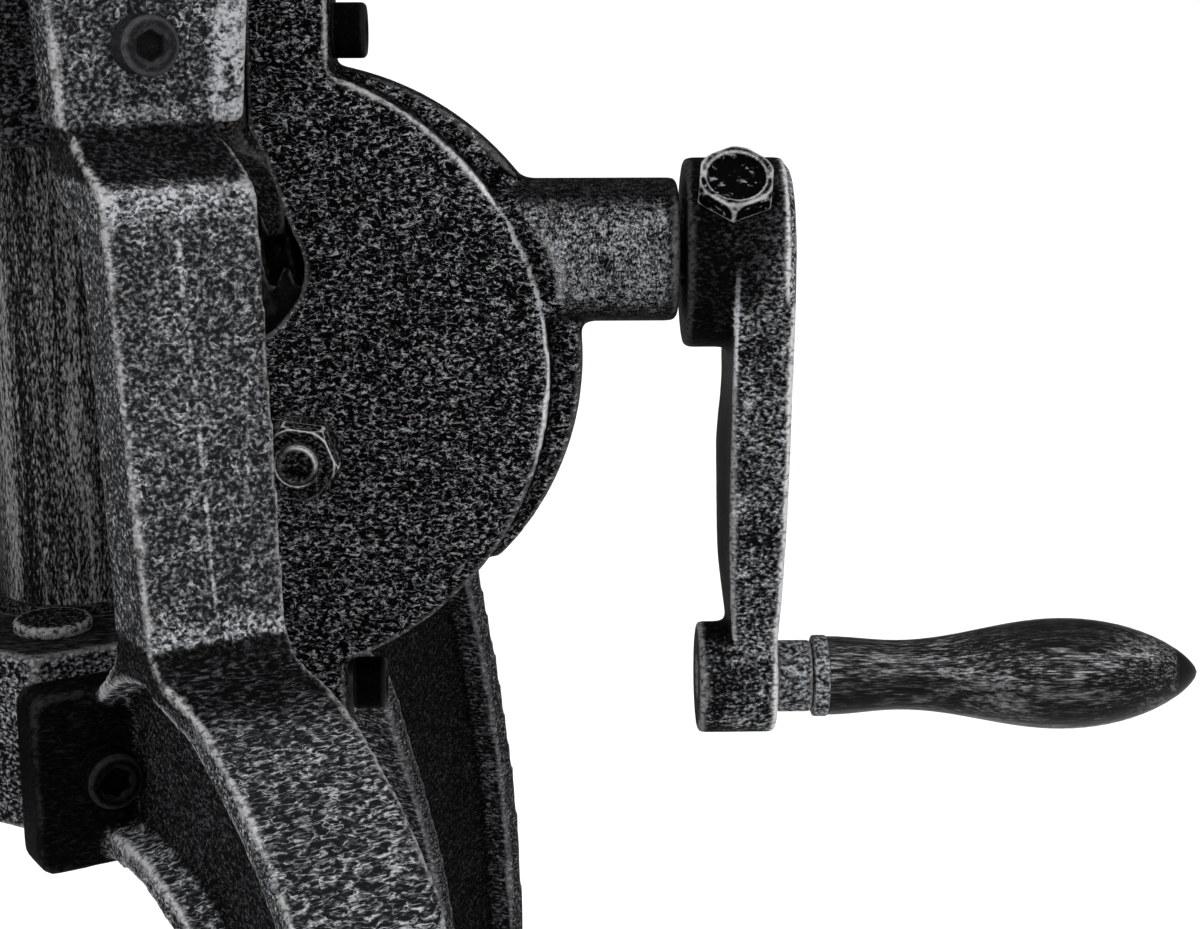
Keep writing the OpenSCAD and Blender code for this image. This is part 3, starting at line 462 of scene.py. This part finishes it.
def hub_field(m):
    """The hubs' top faces get little silver, a painted shade; the lower hub's bevel is rubbed on the side away from
    the crank.
    """
    x, y, z = m.xyz()
    nx, ny, nz = m.attrv("n0")
    lower = lower_hub_only(m, z)
    left = beyond_corner(m, x)
    bevel = m.mul(hub_bevel(m, nz), lower)
    # painted shade: the top faces keep a quarter of the silver
    amount = m.mad(top_face(m, nz), -0.75, 1.0)
    amount = m.add(amount, m.mul(bevel, m.mad(left, 3.0, -0.2)))
    amount = m.mul(amount, m.mad(lower, 0.36, 0.19))
    return amount, m.mul(m.mad(lower, 0.6, 0.1), m.mad(left, 0.6, 0.4))


def hub_extra(m, level):
    """Fine cutter marks lie across the hubs' top faces, and the rubbed bevel is mottled."""
    x, y, z = m.xyz()
    nx, ny, nz = m.attrv("n0")
    marks = m.noise(m.coords(rot=(0, 0, 0.3), scale=(0.10, 1.0, 1.0)), 2200.0, 3.0, 0.6)
    top = top_face(m, nz)
    patch = m.mul(hub_bevel(m, nz), lower_hub_only(m, z), beyond_corner(m, x))
    level = m.mad(patch, 0.12, level)
    return m.add(m.mul(level, m.mad(top, -0.75, 1.0)), m.mul(marks, top, 0.72))


def rim_distance(m, x, v):
    """How far a point lies beyond the cheek's round edge."""
    return m.sub(m.vmath("LENGTH", m.combine(m.sub(x, RIM_X * mm), m.sub(v, RIM_V * mm))), RIM_R * mm)


def boss_mask(m, x, v):
    return m.mul(m.ramp(rim_distance(m, x, v), 0.0025, 0.0055), m.ramp(m.abs(v), 0.0185, 0.0175))


def housing_field(m):
    """The cheeks carry an even grain; the rib's edge gets painted shade, the boss painted shade on its top and
    bottom and a painted strip of light on its front and back, and the rim on the near side a painted highlight.
    """
    x, y, z = m.xyz()
    nx, ny, nz = m.attrv("n0")
    ny = m.abs(ny)
    v = m.sub(z, CRANK_H)
    boss = boss_mask(m, x, v)
    # painted light: the boss's faces toward front and back get far more silver; its top and bottom stay dark as
    # painted shade
    painted_light_band = m.mul(m.ramp(ny, 0.55, 0.93), m.ramp(x, 0.1470, 0.1425))
    # painted shade: the rib's faces, turned away from front and back, get less silver
    side_shade = m.mad(m.ramp(ny, 0.3, 0.8), 0.72, 0.28)
    amount = m.add(m.mul(boss, m.mad(painted_light_band, 1.75, 0.16)), m.mul(m.invert(boss), side_shade))
    near_side = m.ramp(y, -0.009, -0.011)
    # painted highlight: the rim's edges on the near side are brightened in this stretch
    rim_highlight_zone = m.mul(m.ramp(v, -0.056, -0.036), m.ramp(v, 0.030, 0.012), m.ramp(x, 0.080, 0.100), near_side)
    mild = m.mul(m.ramp(v, 0.020, 0.034), m.ramp(x, 0.045, 0.070), near_side)
    wear_and_highlight = m.add(m.mad(rim_highlight_zone, 1.5, 0.14), m.mul(mild, 0.55))
    return amount, m.mul(wear_and_highlight, m.mad(boss, -0.85, 1.0))


def housing_extra(m, level):
    """The boss has a finer grain. On the near side the rim carries a painted highlight: a bright line, with bright
    grain strewn inside it.
    """
    x, y, z = m.xyz()
    v = m.sub(z, CRANK_H)
    boss = boss_mask(m, x, v)
    blot = m.sub(m.noise(m.coords(scale=(1.6, 1.0, 0.8)), 280.0, 3.0, 0.6), 0.5)
    level = m.add(level, m.mul(boss, m.mad(blot, 0.30, 0.03)))
    fine = m.noise(m.coords(scale=(1.4, 1.0, 0.7)), 1700.0, 4.0, 0.65)
    level = m.add(level, m.mul(boss, m.sub(m.add(fine, 0.115), level), 0.6))
    d = rim_distance(m, x, v)
    stray = m.mad(m.sub(m.noise(m.coords(), 420.0, 2.0, 0.6), 0.5), 0.0016, 0.0005)
    # painted highlight: a bright line along the rim and bright grain strewn inside it, only in the highlighted
    # stretch on the near side
    line = m.ramp(m.abs(m.add(d, stray)), 0.0009, 0.0002)
    line = m.mul(line, m.mad(m.ramp(m.noise(m.coords(), 130.0), 0.40, 0.58), 0.7, 0.3))
    rim_highlight_speckle = m.mul(m.ramp(d, -0.0045, -0.0010), m.ramp(d, 0.0006, 0.0), 0.25)
    rim_highlight_zone = m.mul(m.ramp(v, -0.064, -0.036), m.ramp(v, 0.050, 0.010), m.ramp(x, 0.050, 0.095),
                m.ramp(y, -0.0095, -0.0112))
    return m.add(level, m.mul(m.max(line, rim_highlight_speckle), rim_highlight_zone, 0.34))


def leg_side(m, nt):
    """The leg's faces that look sideways."""
    return m.ramp(m.abs(nt), 0.5, 0.9)


def leg_crests(m, nr, z):
    """Rubbed bands: one just below the upper bend, one just above the lower bend."""
    upper = m.mul(m.ramp(z, 14.0, 21.0), m.ramp(z, 24.6, 22.8))
    lower = m.mul(m.ramp(z, -71.2, -69.8), m.ramp(z, -64.5, -68.0))
    return m.mul(m.add(upper, lower), m.ramp(nr, 0.35, 0.7))


def leg_field(m):
    """The bar is rubbed all over; the bends, the web and the lower flange get painted shade that leaves them nearly
    black, and the side faces a lighter painted shade.
    """
    r, t, z = m.attrv("own")
    nr, nt, nz = m.attrv("n0")
    side = leg_side(m, nt)
    web = m.mul(side, m.ramp(m.abs(t), 13.0, 11.0), m.ramp(r, 59.0, 64.0))
    flange = m.mul(m.ramp(z, -78.0, -84.0), m.ramp(r, 63.0, 60.5))
    bend = m.max(m.mul(m.ramp(z, 23.6, 25.6), m.ramp(z, 36.5, 34.0)),
                 m.mul(m.ramp(z, -70.2, -71.6), m.ramp(z, -87.0, -79.0)))
    below = m.ramp(z, -80.0, -86.0)
    # painted shade: silver is cut on the web, the lower flange, the side faces and the bends
    amount = m.mul(m.mad(web, -0.84, 1.0), m.mad(flange, -0.985, 1.0), m.mad(side, -0.35, 1.0))
    amount = m.mul(amount, m.mad(bend, -0.86, 1.0), m.mad(below, 0.05, 1.0))
    amount = m.mul(amount, m.mad(leg_crests(m, nr, z), 0.7, 1.0))
    # painted shade: the lower flange and the side faces get less edge rub
    wear_and_highlight = m.mul(m.mad(flange, -0.965, 1.0), m.mad(side, -0.35, 1.0))
    pad = m.mul(m.ramp(z, 33.0, 36.0), m.ramp(t, 18.0, 22.0))
    return amount, m.mad(pad, 0.8, wear_and_highlight)


def far_leg_shade_field(m):
    """The leg behind the crank stays smoother and is painted darker as shade: it gets less silver and less edge
    rub.
    """
    amount, wear_and_highlight = leg_field(m)
    nr, nt, nz = m.attrv("n0")
    side = leg_side(m, nt)
    return m.mul(amount, m.mad(side, 0.2, 0.5)), m.mul(wear_and_highlight, 0.35)


def leg_extra(m, level):
    """A parting ridge down the bar, and below the hub a coarser grain that lies across the leg."""
    r, t, z = m.attrv("own")
    nr, nt, nz = m.attrv("n0")
    p = m.coords()
    wobble = m.wobble(p, 350.0, 0.0013)
    outward = m.ramp(nr, 0.3, 0.7)

    def across(stretch):  # coordinates that are drawn out sideways
        return m.vmath("ADD", m.combine(m.mul(r, 0.0010), m.mul(t, stretch), m.mul(z, 0.0013)), wobble)

    grain = m.noise(across(0.00055), 950.0, 3.0, 0.5, 0.3)
    grain = m.vary(grain, m.noise(p, 120.0), 0.15)
    hair = m.line(m.noise(across(0.00030), 620.0, 2.0, 0.5, 0.3), 0.5, 0.05, 0.0)
    grain = m.add(m.mad(hair, 0.22, -0.05), grain)
    low = m.ramp(z, -71.0, -76.0)
    level = m.add(m.mul(level, m.invert(low)), m.mul(grain, low))

    drift = m.mad(m.sub(m.noise(p, 55.0), 0.5), 3.0, -1.5)
    gaps = m.ramp(m.noise(p, 160.0, 2.0, 0.6), 0.42, 0.56)
    ridge = m.mul(m.line(t, drift, 0.9, 0.1), gaps, m.ramp(nr, 0.5, 0.8), m.ramp(z, -70.0, -60.0),
                  m.ramp(r, 76.0, 79.0))
    strip = m.mul(m.ramp(t, 15.0, 17.5), m.ramp(z, 33.5, 36.0), outward, m.ramp(m.noise(p, 300.0), 0.34, 0.5))
    smear = m.mul(m.line(z, 37.0, 3.0, 0.5), m.ramp(m.abs(t), 12.0, 5.0), outward)
    level = m.add(level, m.mad(strip, 0.21, m.mul(smear, 0.10)))
    level = m.mad(leg_crests(m, nr, z), 0.06, level)
    return m.mad(ridge, 0.16, level)


def hub_side(m, x):
    """The crank's hub, which reaches farther toward the column than its arm."""
    return m.ramp(x, 0.1605, 0.1595)


def crank_field(m):
    """The arm is rubbed hard and its edge away from the column carries rubbed silver with a painted highlight over
    it; the hub stays black below the clamp screw.
    """
    x, y, z = m.xyz()
    nx, ny, nz = m.attrv("n0")
    v = m.sub(z, CRANK_H)
    front = m.ramp(m.abs(ny), 0.35, 0.9)
    # partly painted highlight: faces turned away from the column get extra silver
    outer_rub_and_highlight = m.mul(m.ramp(nx, 0.25, 0.7), m.mad(m.ramp(nx, 0.80, 0.97), -0.5, 1.0))
    arm = m.ramp(x, 0.1585, 0.1605)
    hub = m.max(m.mul(m.ramp(v, -0.018, -0.004), m.ramp(x, 0.1705, 0.1660)),
                m.mul(hub_side(m, x), m.ramp(v, -0.040, -0.030)))
    foot = m.ramp(v, -0.092, -0.100)
    body = m.max(m.mul(arm, m.ramp(v, 0.004, -0.012)), foot)
    rubbed = m.max(m.mul(front, m.mad(body, 0.75, 0.25)), m.mul(outer_rub_and_highlight, 1.6))
    amount = m.mul(m.mad(rubbed, 1.15, 0.08), m.mad(hub, -0.72, 1.0))
    wear_and_highlight = m.mul(m.mad(m.ramp(x, 0.158, 0.172), 0.6, 0.5), m.mad(m.ramp(x, 0.1535, 0.1515), -0.82, 1.0))
    # painted highlight: edges turned away from the column get more rub
    return amount, m.mul(wear_and_highlight, m.mad(m.ramp(nx, 0.0, 0.5), 0.8, 0.7))


def crank_extra(m, level):
    """Strokes slant across the arm above and lie level lower down; a ridge begins at the hub's foot; a painted
    highlight runs down the front face by the arm's edge away from the column.
    """
    x, y, z = m.xyz()
    nx, ny, nz = m.attrv("n0")
    v = m.sub(z, CRANK_H)

    def strokes(tilt):
        return m.noise(m.coords(rot=(0, math.radians(tilt), 0), scale=(0.62, 1.0, 1.1)), 1150.0, 4.0, 0.65)

    low = m.ramp(z, 0.355, 0.335)
    grain = m.add(m.mul(strokes(0), low), m.mul(strokes(30), m.invert(low)))
    ridge = m.mul(m.line(x, ARM_EDGE, 0.0009, 0.0002), m.ramp(v, 0.001, -0.004), m.ramp(v, -0.034, -0.024))
    left = m.mul(hub_side(m, x), m.ramp(v, 0.004, -0.006))
    # painted highlight: a bright strip on the front face by the edge away from the column
    outer_edge_highlight = m.mul(m.ramp(x, 0.1700, 0.1730), m.ramp(nx, 0.95, 0.75))
    level = m.add(m.mul(level, 0.72), m.mul(grain, 0.28))
    level = m.mad(outer_edge_highlight, 0.035, level)
    return m.add(m.mad(ridge, 0.2, level), m.mul(left, -0.05))


def lit_field(m):
    """Painted highlight: only the edges that face up and to the crank side are made bright, and the grain there
    gets more silver.
    """
    nx, ny, nz = m.attrv("n0")
    lit = m.ramp(m.add(m.add(m.mul(nx, 0.62), m.mul(ny, -0.15)), m.mul(nz, 0.77)), 0.15, 0.75)
    return m.mad(lit, 0.6, 0.35), m.mad(lit, 1.0, 0.05)


# ------------------------------------------------------------------ materials
cast_paint = antique("antique_cast", silver=0.17, lo=0.36, hi=0.74)
hub_paint = antique("antique_hub", silver=0.40, black=0.002, lo=0.36, hi=0.72, edge=0.3, field=hub_field,
                    extra=hub_extra)
disc_paint = antique("antique_disc", grain=1300.0, silver=0.085, lo=0.44, hi=0.74, edge=0.18, edge_at=(0.04, 0.14),
                     edge_noise=0.20, broken=0.95)
cheek_paint = antique("antique_cheek", grain=980.0, silver=0.30, lo=0.48, hi=0.84, stretch=(0.7, 0.8, 1.1),
                      edge=0.55, worm=0.20, power=1.7, field=housing_field, extra=housing_extra)
leg_paint = antique("antique_leg", grain=1150.0, black=0.008, silver=0.42, lo=0.33, hi=0.86,
                    stretch=(0.8, 0.8, 1.0), edge=0.35, edge_noise=0.45, broken=0.8, depth=0.0005, vein=0.17,
                    vein_scale=240.0, field=leg_field, extra=leg_extra)
# painted shade: a darker copy of the leg paint, for the leg behind the crank
shaded_far_leg_paint = antique("antique_far_leg_shaded", grain=1150.0, black=0.006, silver=0.42, lo=0.33, hi=0.86,
                        stretch=(0.8, 0.8, 1.0), edge=0.4, depth=0.0005, field=far_leg_shade_field, extra=leg_extra)
crank_paint = antique("antique_crank", black=0.002, silver=0.40, lo=0.38, hi=0.76, patch=0.40, patch_scale=80.0,
                      edge=0.50, edge_at=(0.12, 0.32), edge_noise=0.24, broken=0.75, field=crank_field,
                      extra=crank_extra)
trim_paint = antique("antique_trim", grain=1100.0, black=0.006, silver=0.32, lo=0.30, hi=0.72, edge=0.3,
                     edge_at=(0.10, 0.30), edge_noise=0.16)
dark_bronze = antique("blackened_bronze", grain=1500.0, silver=0.06, edge=0.2)
nut_mat = antique("antique_fastener", grain=700.0, silver=0.20, lo=0.55, hi=0.70, edge=0.42, edge_at=(0.03, 0.13),
                  edge_noise=0.12, broken=0.4)
# painted highlight: lit_field brightens the edges and grain that face up and toward the crank
axle_mat = antique("antique_axle", grain=1300.0, silver=0.24, lo=0.42, hi=0.70, edge=0.7, edge_at=(0.02, 0.07),
                   edge_noise=0.03, broken=0.3, field=lit_field)
# painted shade: a near-black copy of the screw paint for the screws in the lower flanges and on the housing; the
# upper pad's screws get a lighter copy
shaded_screw_mat = antique("antique_screw_shaded", grain=1400.0, black=0.0008, silver=0.008, lo=0.42, hi=0.84, edge=0.02,
                    edge_at=(0.04, 0.16), edge_noise=0.04, broken=0.2)
pad_screw_mat = antique("antique_pad_screw", grain=1400.0, black=0.010, silver=0.05, lo=0.36, hi=0.9, edge=0.10,
                        edge_at=(0.04, 0.2), edge_noise=0.04, broken=0.2)


def oxide_steel():
    """Blackened steel that is worn at its edges."""
    m = Mat("black_oxide_steel")
    n = m.noise(m.coords(), 900.0, 3.0, 0.6)
    col = m.mix(n, (0.012, 0.012, 0.013, 1), (0.04, 0.04, 0.042, 1))
    col = m.mix(m.ramp(m.vary(m.attr("proudness"), n, 0.2), 0.08, 0.3), col, (0.30, 0.30, 0.31, 1))
    return m.out(col, m.ramp(n, 0.3, 0.7, 0.36, 0.5), 0.75, m.bump(n, 0.15, 0.0002))


def shaded_gear_steel():
    """Machined steel kept near black as painted shade for the inside of the housing, with a fine mottle over it."""
    m = Mat("gear_steel")
    f = m.vary(m.noise(m.coords(), 500.0, 4.0, 0.65), m.noise(m.coords(), 500.0 * 0.13, 3.0, 0.6), 0.9)
    mask = m.power(m.ramp(f, 0.33, 0.72), 2.0)
    mask = m.mul(mask, m.mad(m.noise(m.coords(), 2200.0, 2.0, 0.6), 1.0, 0.5), clamp=True)
    # painted shade: the steel stays near black
    col = m.mix(mask, (0.001, 0.001, 0.001, 1), (0.015, 0.015, 0.015, 1))
    return m.out(col, m.ramp(mask, 0.0, 1.0, 0.55, 0.4, smooth=False), 0.3, m.bump(f, 0.25, 0.0002), spec=0.05)


def column_steel_and_reflections():
    """Speckled, in soft upright stripes that are painted reflections."""
    m = Mat("column_steel")
    speck = m.noise(m.coords(scale=(1, 1, 0.32)), 2000.0, 3.0, 0.6)
    # painted reflection: soft upright stripes of light and dark, as on a polished round column
    reflection_band = m.noise(m.coords(scale=(1, 1, 0.02)), 120.0, 3.0, 0.6)
    streak = m.noise(m.coords(scale=(1, 1, 0.04)), 800.0, 3.0, 0.6)
    f = m.vary(m.vary(speck, reflection_band, 0.55), streak, 0.40)
    mask = m.power(m.ramp(f, 0.36, 0.76), 2.0)
    mask = m.mul(mask, m.mad(m.noise(m.coords(), 3000.0, 2.0, 0.6), 1.0, 0.5), clamp=True)
    col = m.mix(mask, (0.0012, 0.0012, 0.0012, 1), (0.17, 0.17, 0.173, 1))
    return m.out(col, m.ramp(mask, 0.0, 1.0, 0.55, 0.45, smooth=False), m.mul(mask, 0.2), m.bump(f, 0.3, 0.0002),
                 spec=0.02)


def bearing_bronze():
    m = Mat("bearing_bronze")
    n = m.noise(m.coords(), 700.0, 3.0, 0.6)
    col = m.mix(n, (0.28, 0.17, 0.07, 1), (0.50, 0.34, 0.16, 1))
    return m.out(col, m.ramp(n, 0.3, 0.7, 0.3, 0.45), 0.9, m.bump(n, 0.12, 0.0002))


def grip_wood_with_painted_light():
    """Dark wood streaked along its grain, with a painted highlight above its middle on the near side and painted
    shade toward its upper and lower edges; the end cap is left black.
    """
    m = Mat("grip_wood")
    streak = m.noise(m.coords(scale=(0.09, 1, 1)), 2300.0, 4.0, 0.7)
    broad = m.noise(m.coords(scale=(0.14, 1, 1)), 700.0, 3.0, 0.6)
    patch = m.noise(m.coords(scale=(0.3, 1, 1)), 110.0, 3.0, 0.6)
    f = m.vary(m.vary(streak, broad, 0.45), patch, 0.45)
    mask = m.power(m.ramp(f, 0.37, 0.78), 2.2)
    grit = m.noise(m.coords(scale=(0.3, 1, 1)), 2400.0, 2.0, 0.6)
    mask = m.mul(mask, m.mad(grit, 1.0, 0.5), clamp=True)
    x, y, z = m.xyz()
    h = m.math("DIVIDE", m.sub(z, GRIP_H), GRIP_R)
    # painted highlight: a stripe above the middle, on the near side only
    painted_light_band = m.mul(m.line(h, 0.42, 0.42, 0.05), m.ramp(y, 0.002, -0.004))
    # painted shade toward the upper and lower edges, and less silver toward the ferrule
    body = m.mul(m.ramp(m.abs(h), 0.98, 0.70), m.mad(m.ramp(x, 0.200, 0.235), 0.35, 0.65))
    mask = m.mul(mask, m.mad(painted_light_band, 1.0, 0.55), m.mad(body, 0.7, 0.3))
    col = m.mix(mask, (0.0025, 0.0025, 0.0026, 1), (0.27, 0.272, 0.278, 1))
    col = m.mix(m.ramp(x, CAP_START, CAP_FULL), col, (0.004, 0.004, 0.0045, 1))
    return m.out(col, m.ramp(mask, 0.0, 1.0, 0.36, 0.42, smooth=False), m.mul(mask, 0.25), m.bump(f, 0.4, 0.0002),
                 spec=0.05)


# ------------------------------------------------------------------ shapes, in mm from the crank axis
def leg_shape(own):
    """The bar narrows downward on one side, the upper pad widens upward, and the foot sweeps a little sideways."""
    r, t, z = own[:, 0], own[:, 1].copy(), own[:, 2]
    bar = smoothstep(r, 62.5, 67.0) * smoothstep(z, -84.0, -74.0)
    crank_side = 1.07 - 0.195 * np.clip((20.0 - z) / 85.0, 0.0, 1.0)
    t += bar * np.where(t > 0, t * (crank_side - 1.0), t * 0.017)
    pad = (1.0 - smoothstep(r, 62.0, 64.0)) * smoothstep(z, 30.0, 34.0)
    t *= 1.0 + pad * 0.04 * (z - 48.0) / 13.0
    foot = smoothstep(r, 92.0, 112.0) * (1.0 - smoothstep(z, -84.0, -72.0))
    t += foot * (2.1 - 0.03 * t)
    return np.stack([r, t, z], 1)


def boss_root(p):
    """The crank boss stays behind the cheek's round edge and swells to its full size just beyond it."""
    x, y, z = p.T
    d = np.hypot(x - RIM_X, z - RIM_V) - RIM_R
    near = (np.abs(z) < 18.0) & (x > 98.0) & (x < 135.0)
    most = np.where(d < 0.2, 13.0, 11.6 + 5.8 * smoothstep(d, 0.2, 7.5))
    return np.stack([x, np.where(near, np.clip(y, -most, most), y), z], 1)


def crank_shape(p):
    """The arm bellies toward the column, a ridge rises at the hub's foot, and the hub droops a little."""
    x, y, z = p[:, 0].copy(), p[:, 1], p[:, 2].copy()
    side = 1.0 - smoothstep(x, 159.0, 168.0)
    x -= 1.4 * side * smoothstep(z, -100.0, -75.0) * (1.0 - smoothstep(z, -52.0, -32.0)) * smoothstep(y, -12.0, 8.0)
    ridge = smoothstep(x, 159.8, 160.8) * smoothstep(z, -34.0, -26.0) * (1.0 - smoothstep(z, -12.0, 2.0))
    y = y + np.sign(y) * 0.9 * ridge * smoothstep(np.abs(y), 14.0, 17.0)
    z -= 0.85 * smoothstep(z, -60.0, -15.0)
    return np.stack([x, y, z], 1)


# ------------------------------------------------------------------ cast pieces
#    node, material, voxel in mm, softening rounds, filling rounds
cast("upper_hub", hub_paint, 1.1, 4)
cast("lower_hub", hub_paint, 1.1, 3)
cast("cover_discs", disc_paint, 0.5, 4)
cast("leg_front", leg_paint, 1.1, 5, 16, turn=-60, shape=leg_shape)
cast("leg_rear", shaded_far_leg_paint, 1.2, 5, 8, turn=60)
cast("leg_left", leg_paint, 1.3, 5, 8, turn=180)
cast("gear_housing", cheek_paint, 1.0, 4, 8, first=boss_root)
cast("crank_arm", crank_paint, 0.7, 10, 8, wear_rounds=16, shape=crank_shape)
cast("plate_socket", cast_paint, 1.0, 5)
cast("top_plate", cast_paint, 1.2, 5)
cast("handle_neck", trim_paint, 0.5, 4)
cast("handle_ferrule", trim_paint, 0.4, 6)
cast("gear_axle_nut", axle_mat, 0.3, 2)
cast("gear_axle_bolt", axle_mat, 0.3, 3)
cast("clamp_screw", nut_mat, 0.35, 3)
cast("lower_leg_screws", shaded_screw_mat, 0.4, 3)
cast("housing_screws", shaded_screw_mat, 0.4, 3)
cast("upper_leg_screws", pad_screw_mat, 0.4, 3)

# ------------------------------------------------------------------ carried-over CAD nodes
slot_paint = {"machined_steel": shaded_gear_steel(), "bronze": bearing_bronze(), "black_oxide": oxide_steel(),
              "grip_wood": grip_wood_with_painted_light(), "worn_steel": column_steel_and_reflections()}
node_paint = {"upper_guide_bush": dark_bronze, "lower_guide_bush": dark_bronze,
              "lift_column": slot_paint["worn_steel"]}
for n, o in frame["nodes"].items():
    o.data.materials.clear()
    o.data.materials.append(node_paint.get(n) or slot_paint.get(node_slot[n], cast_paint))
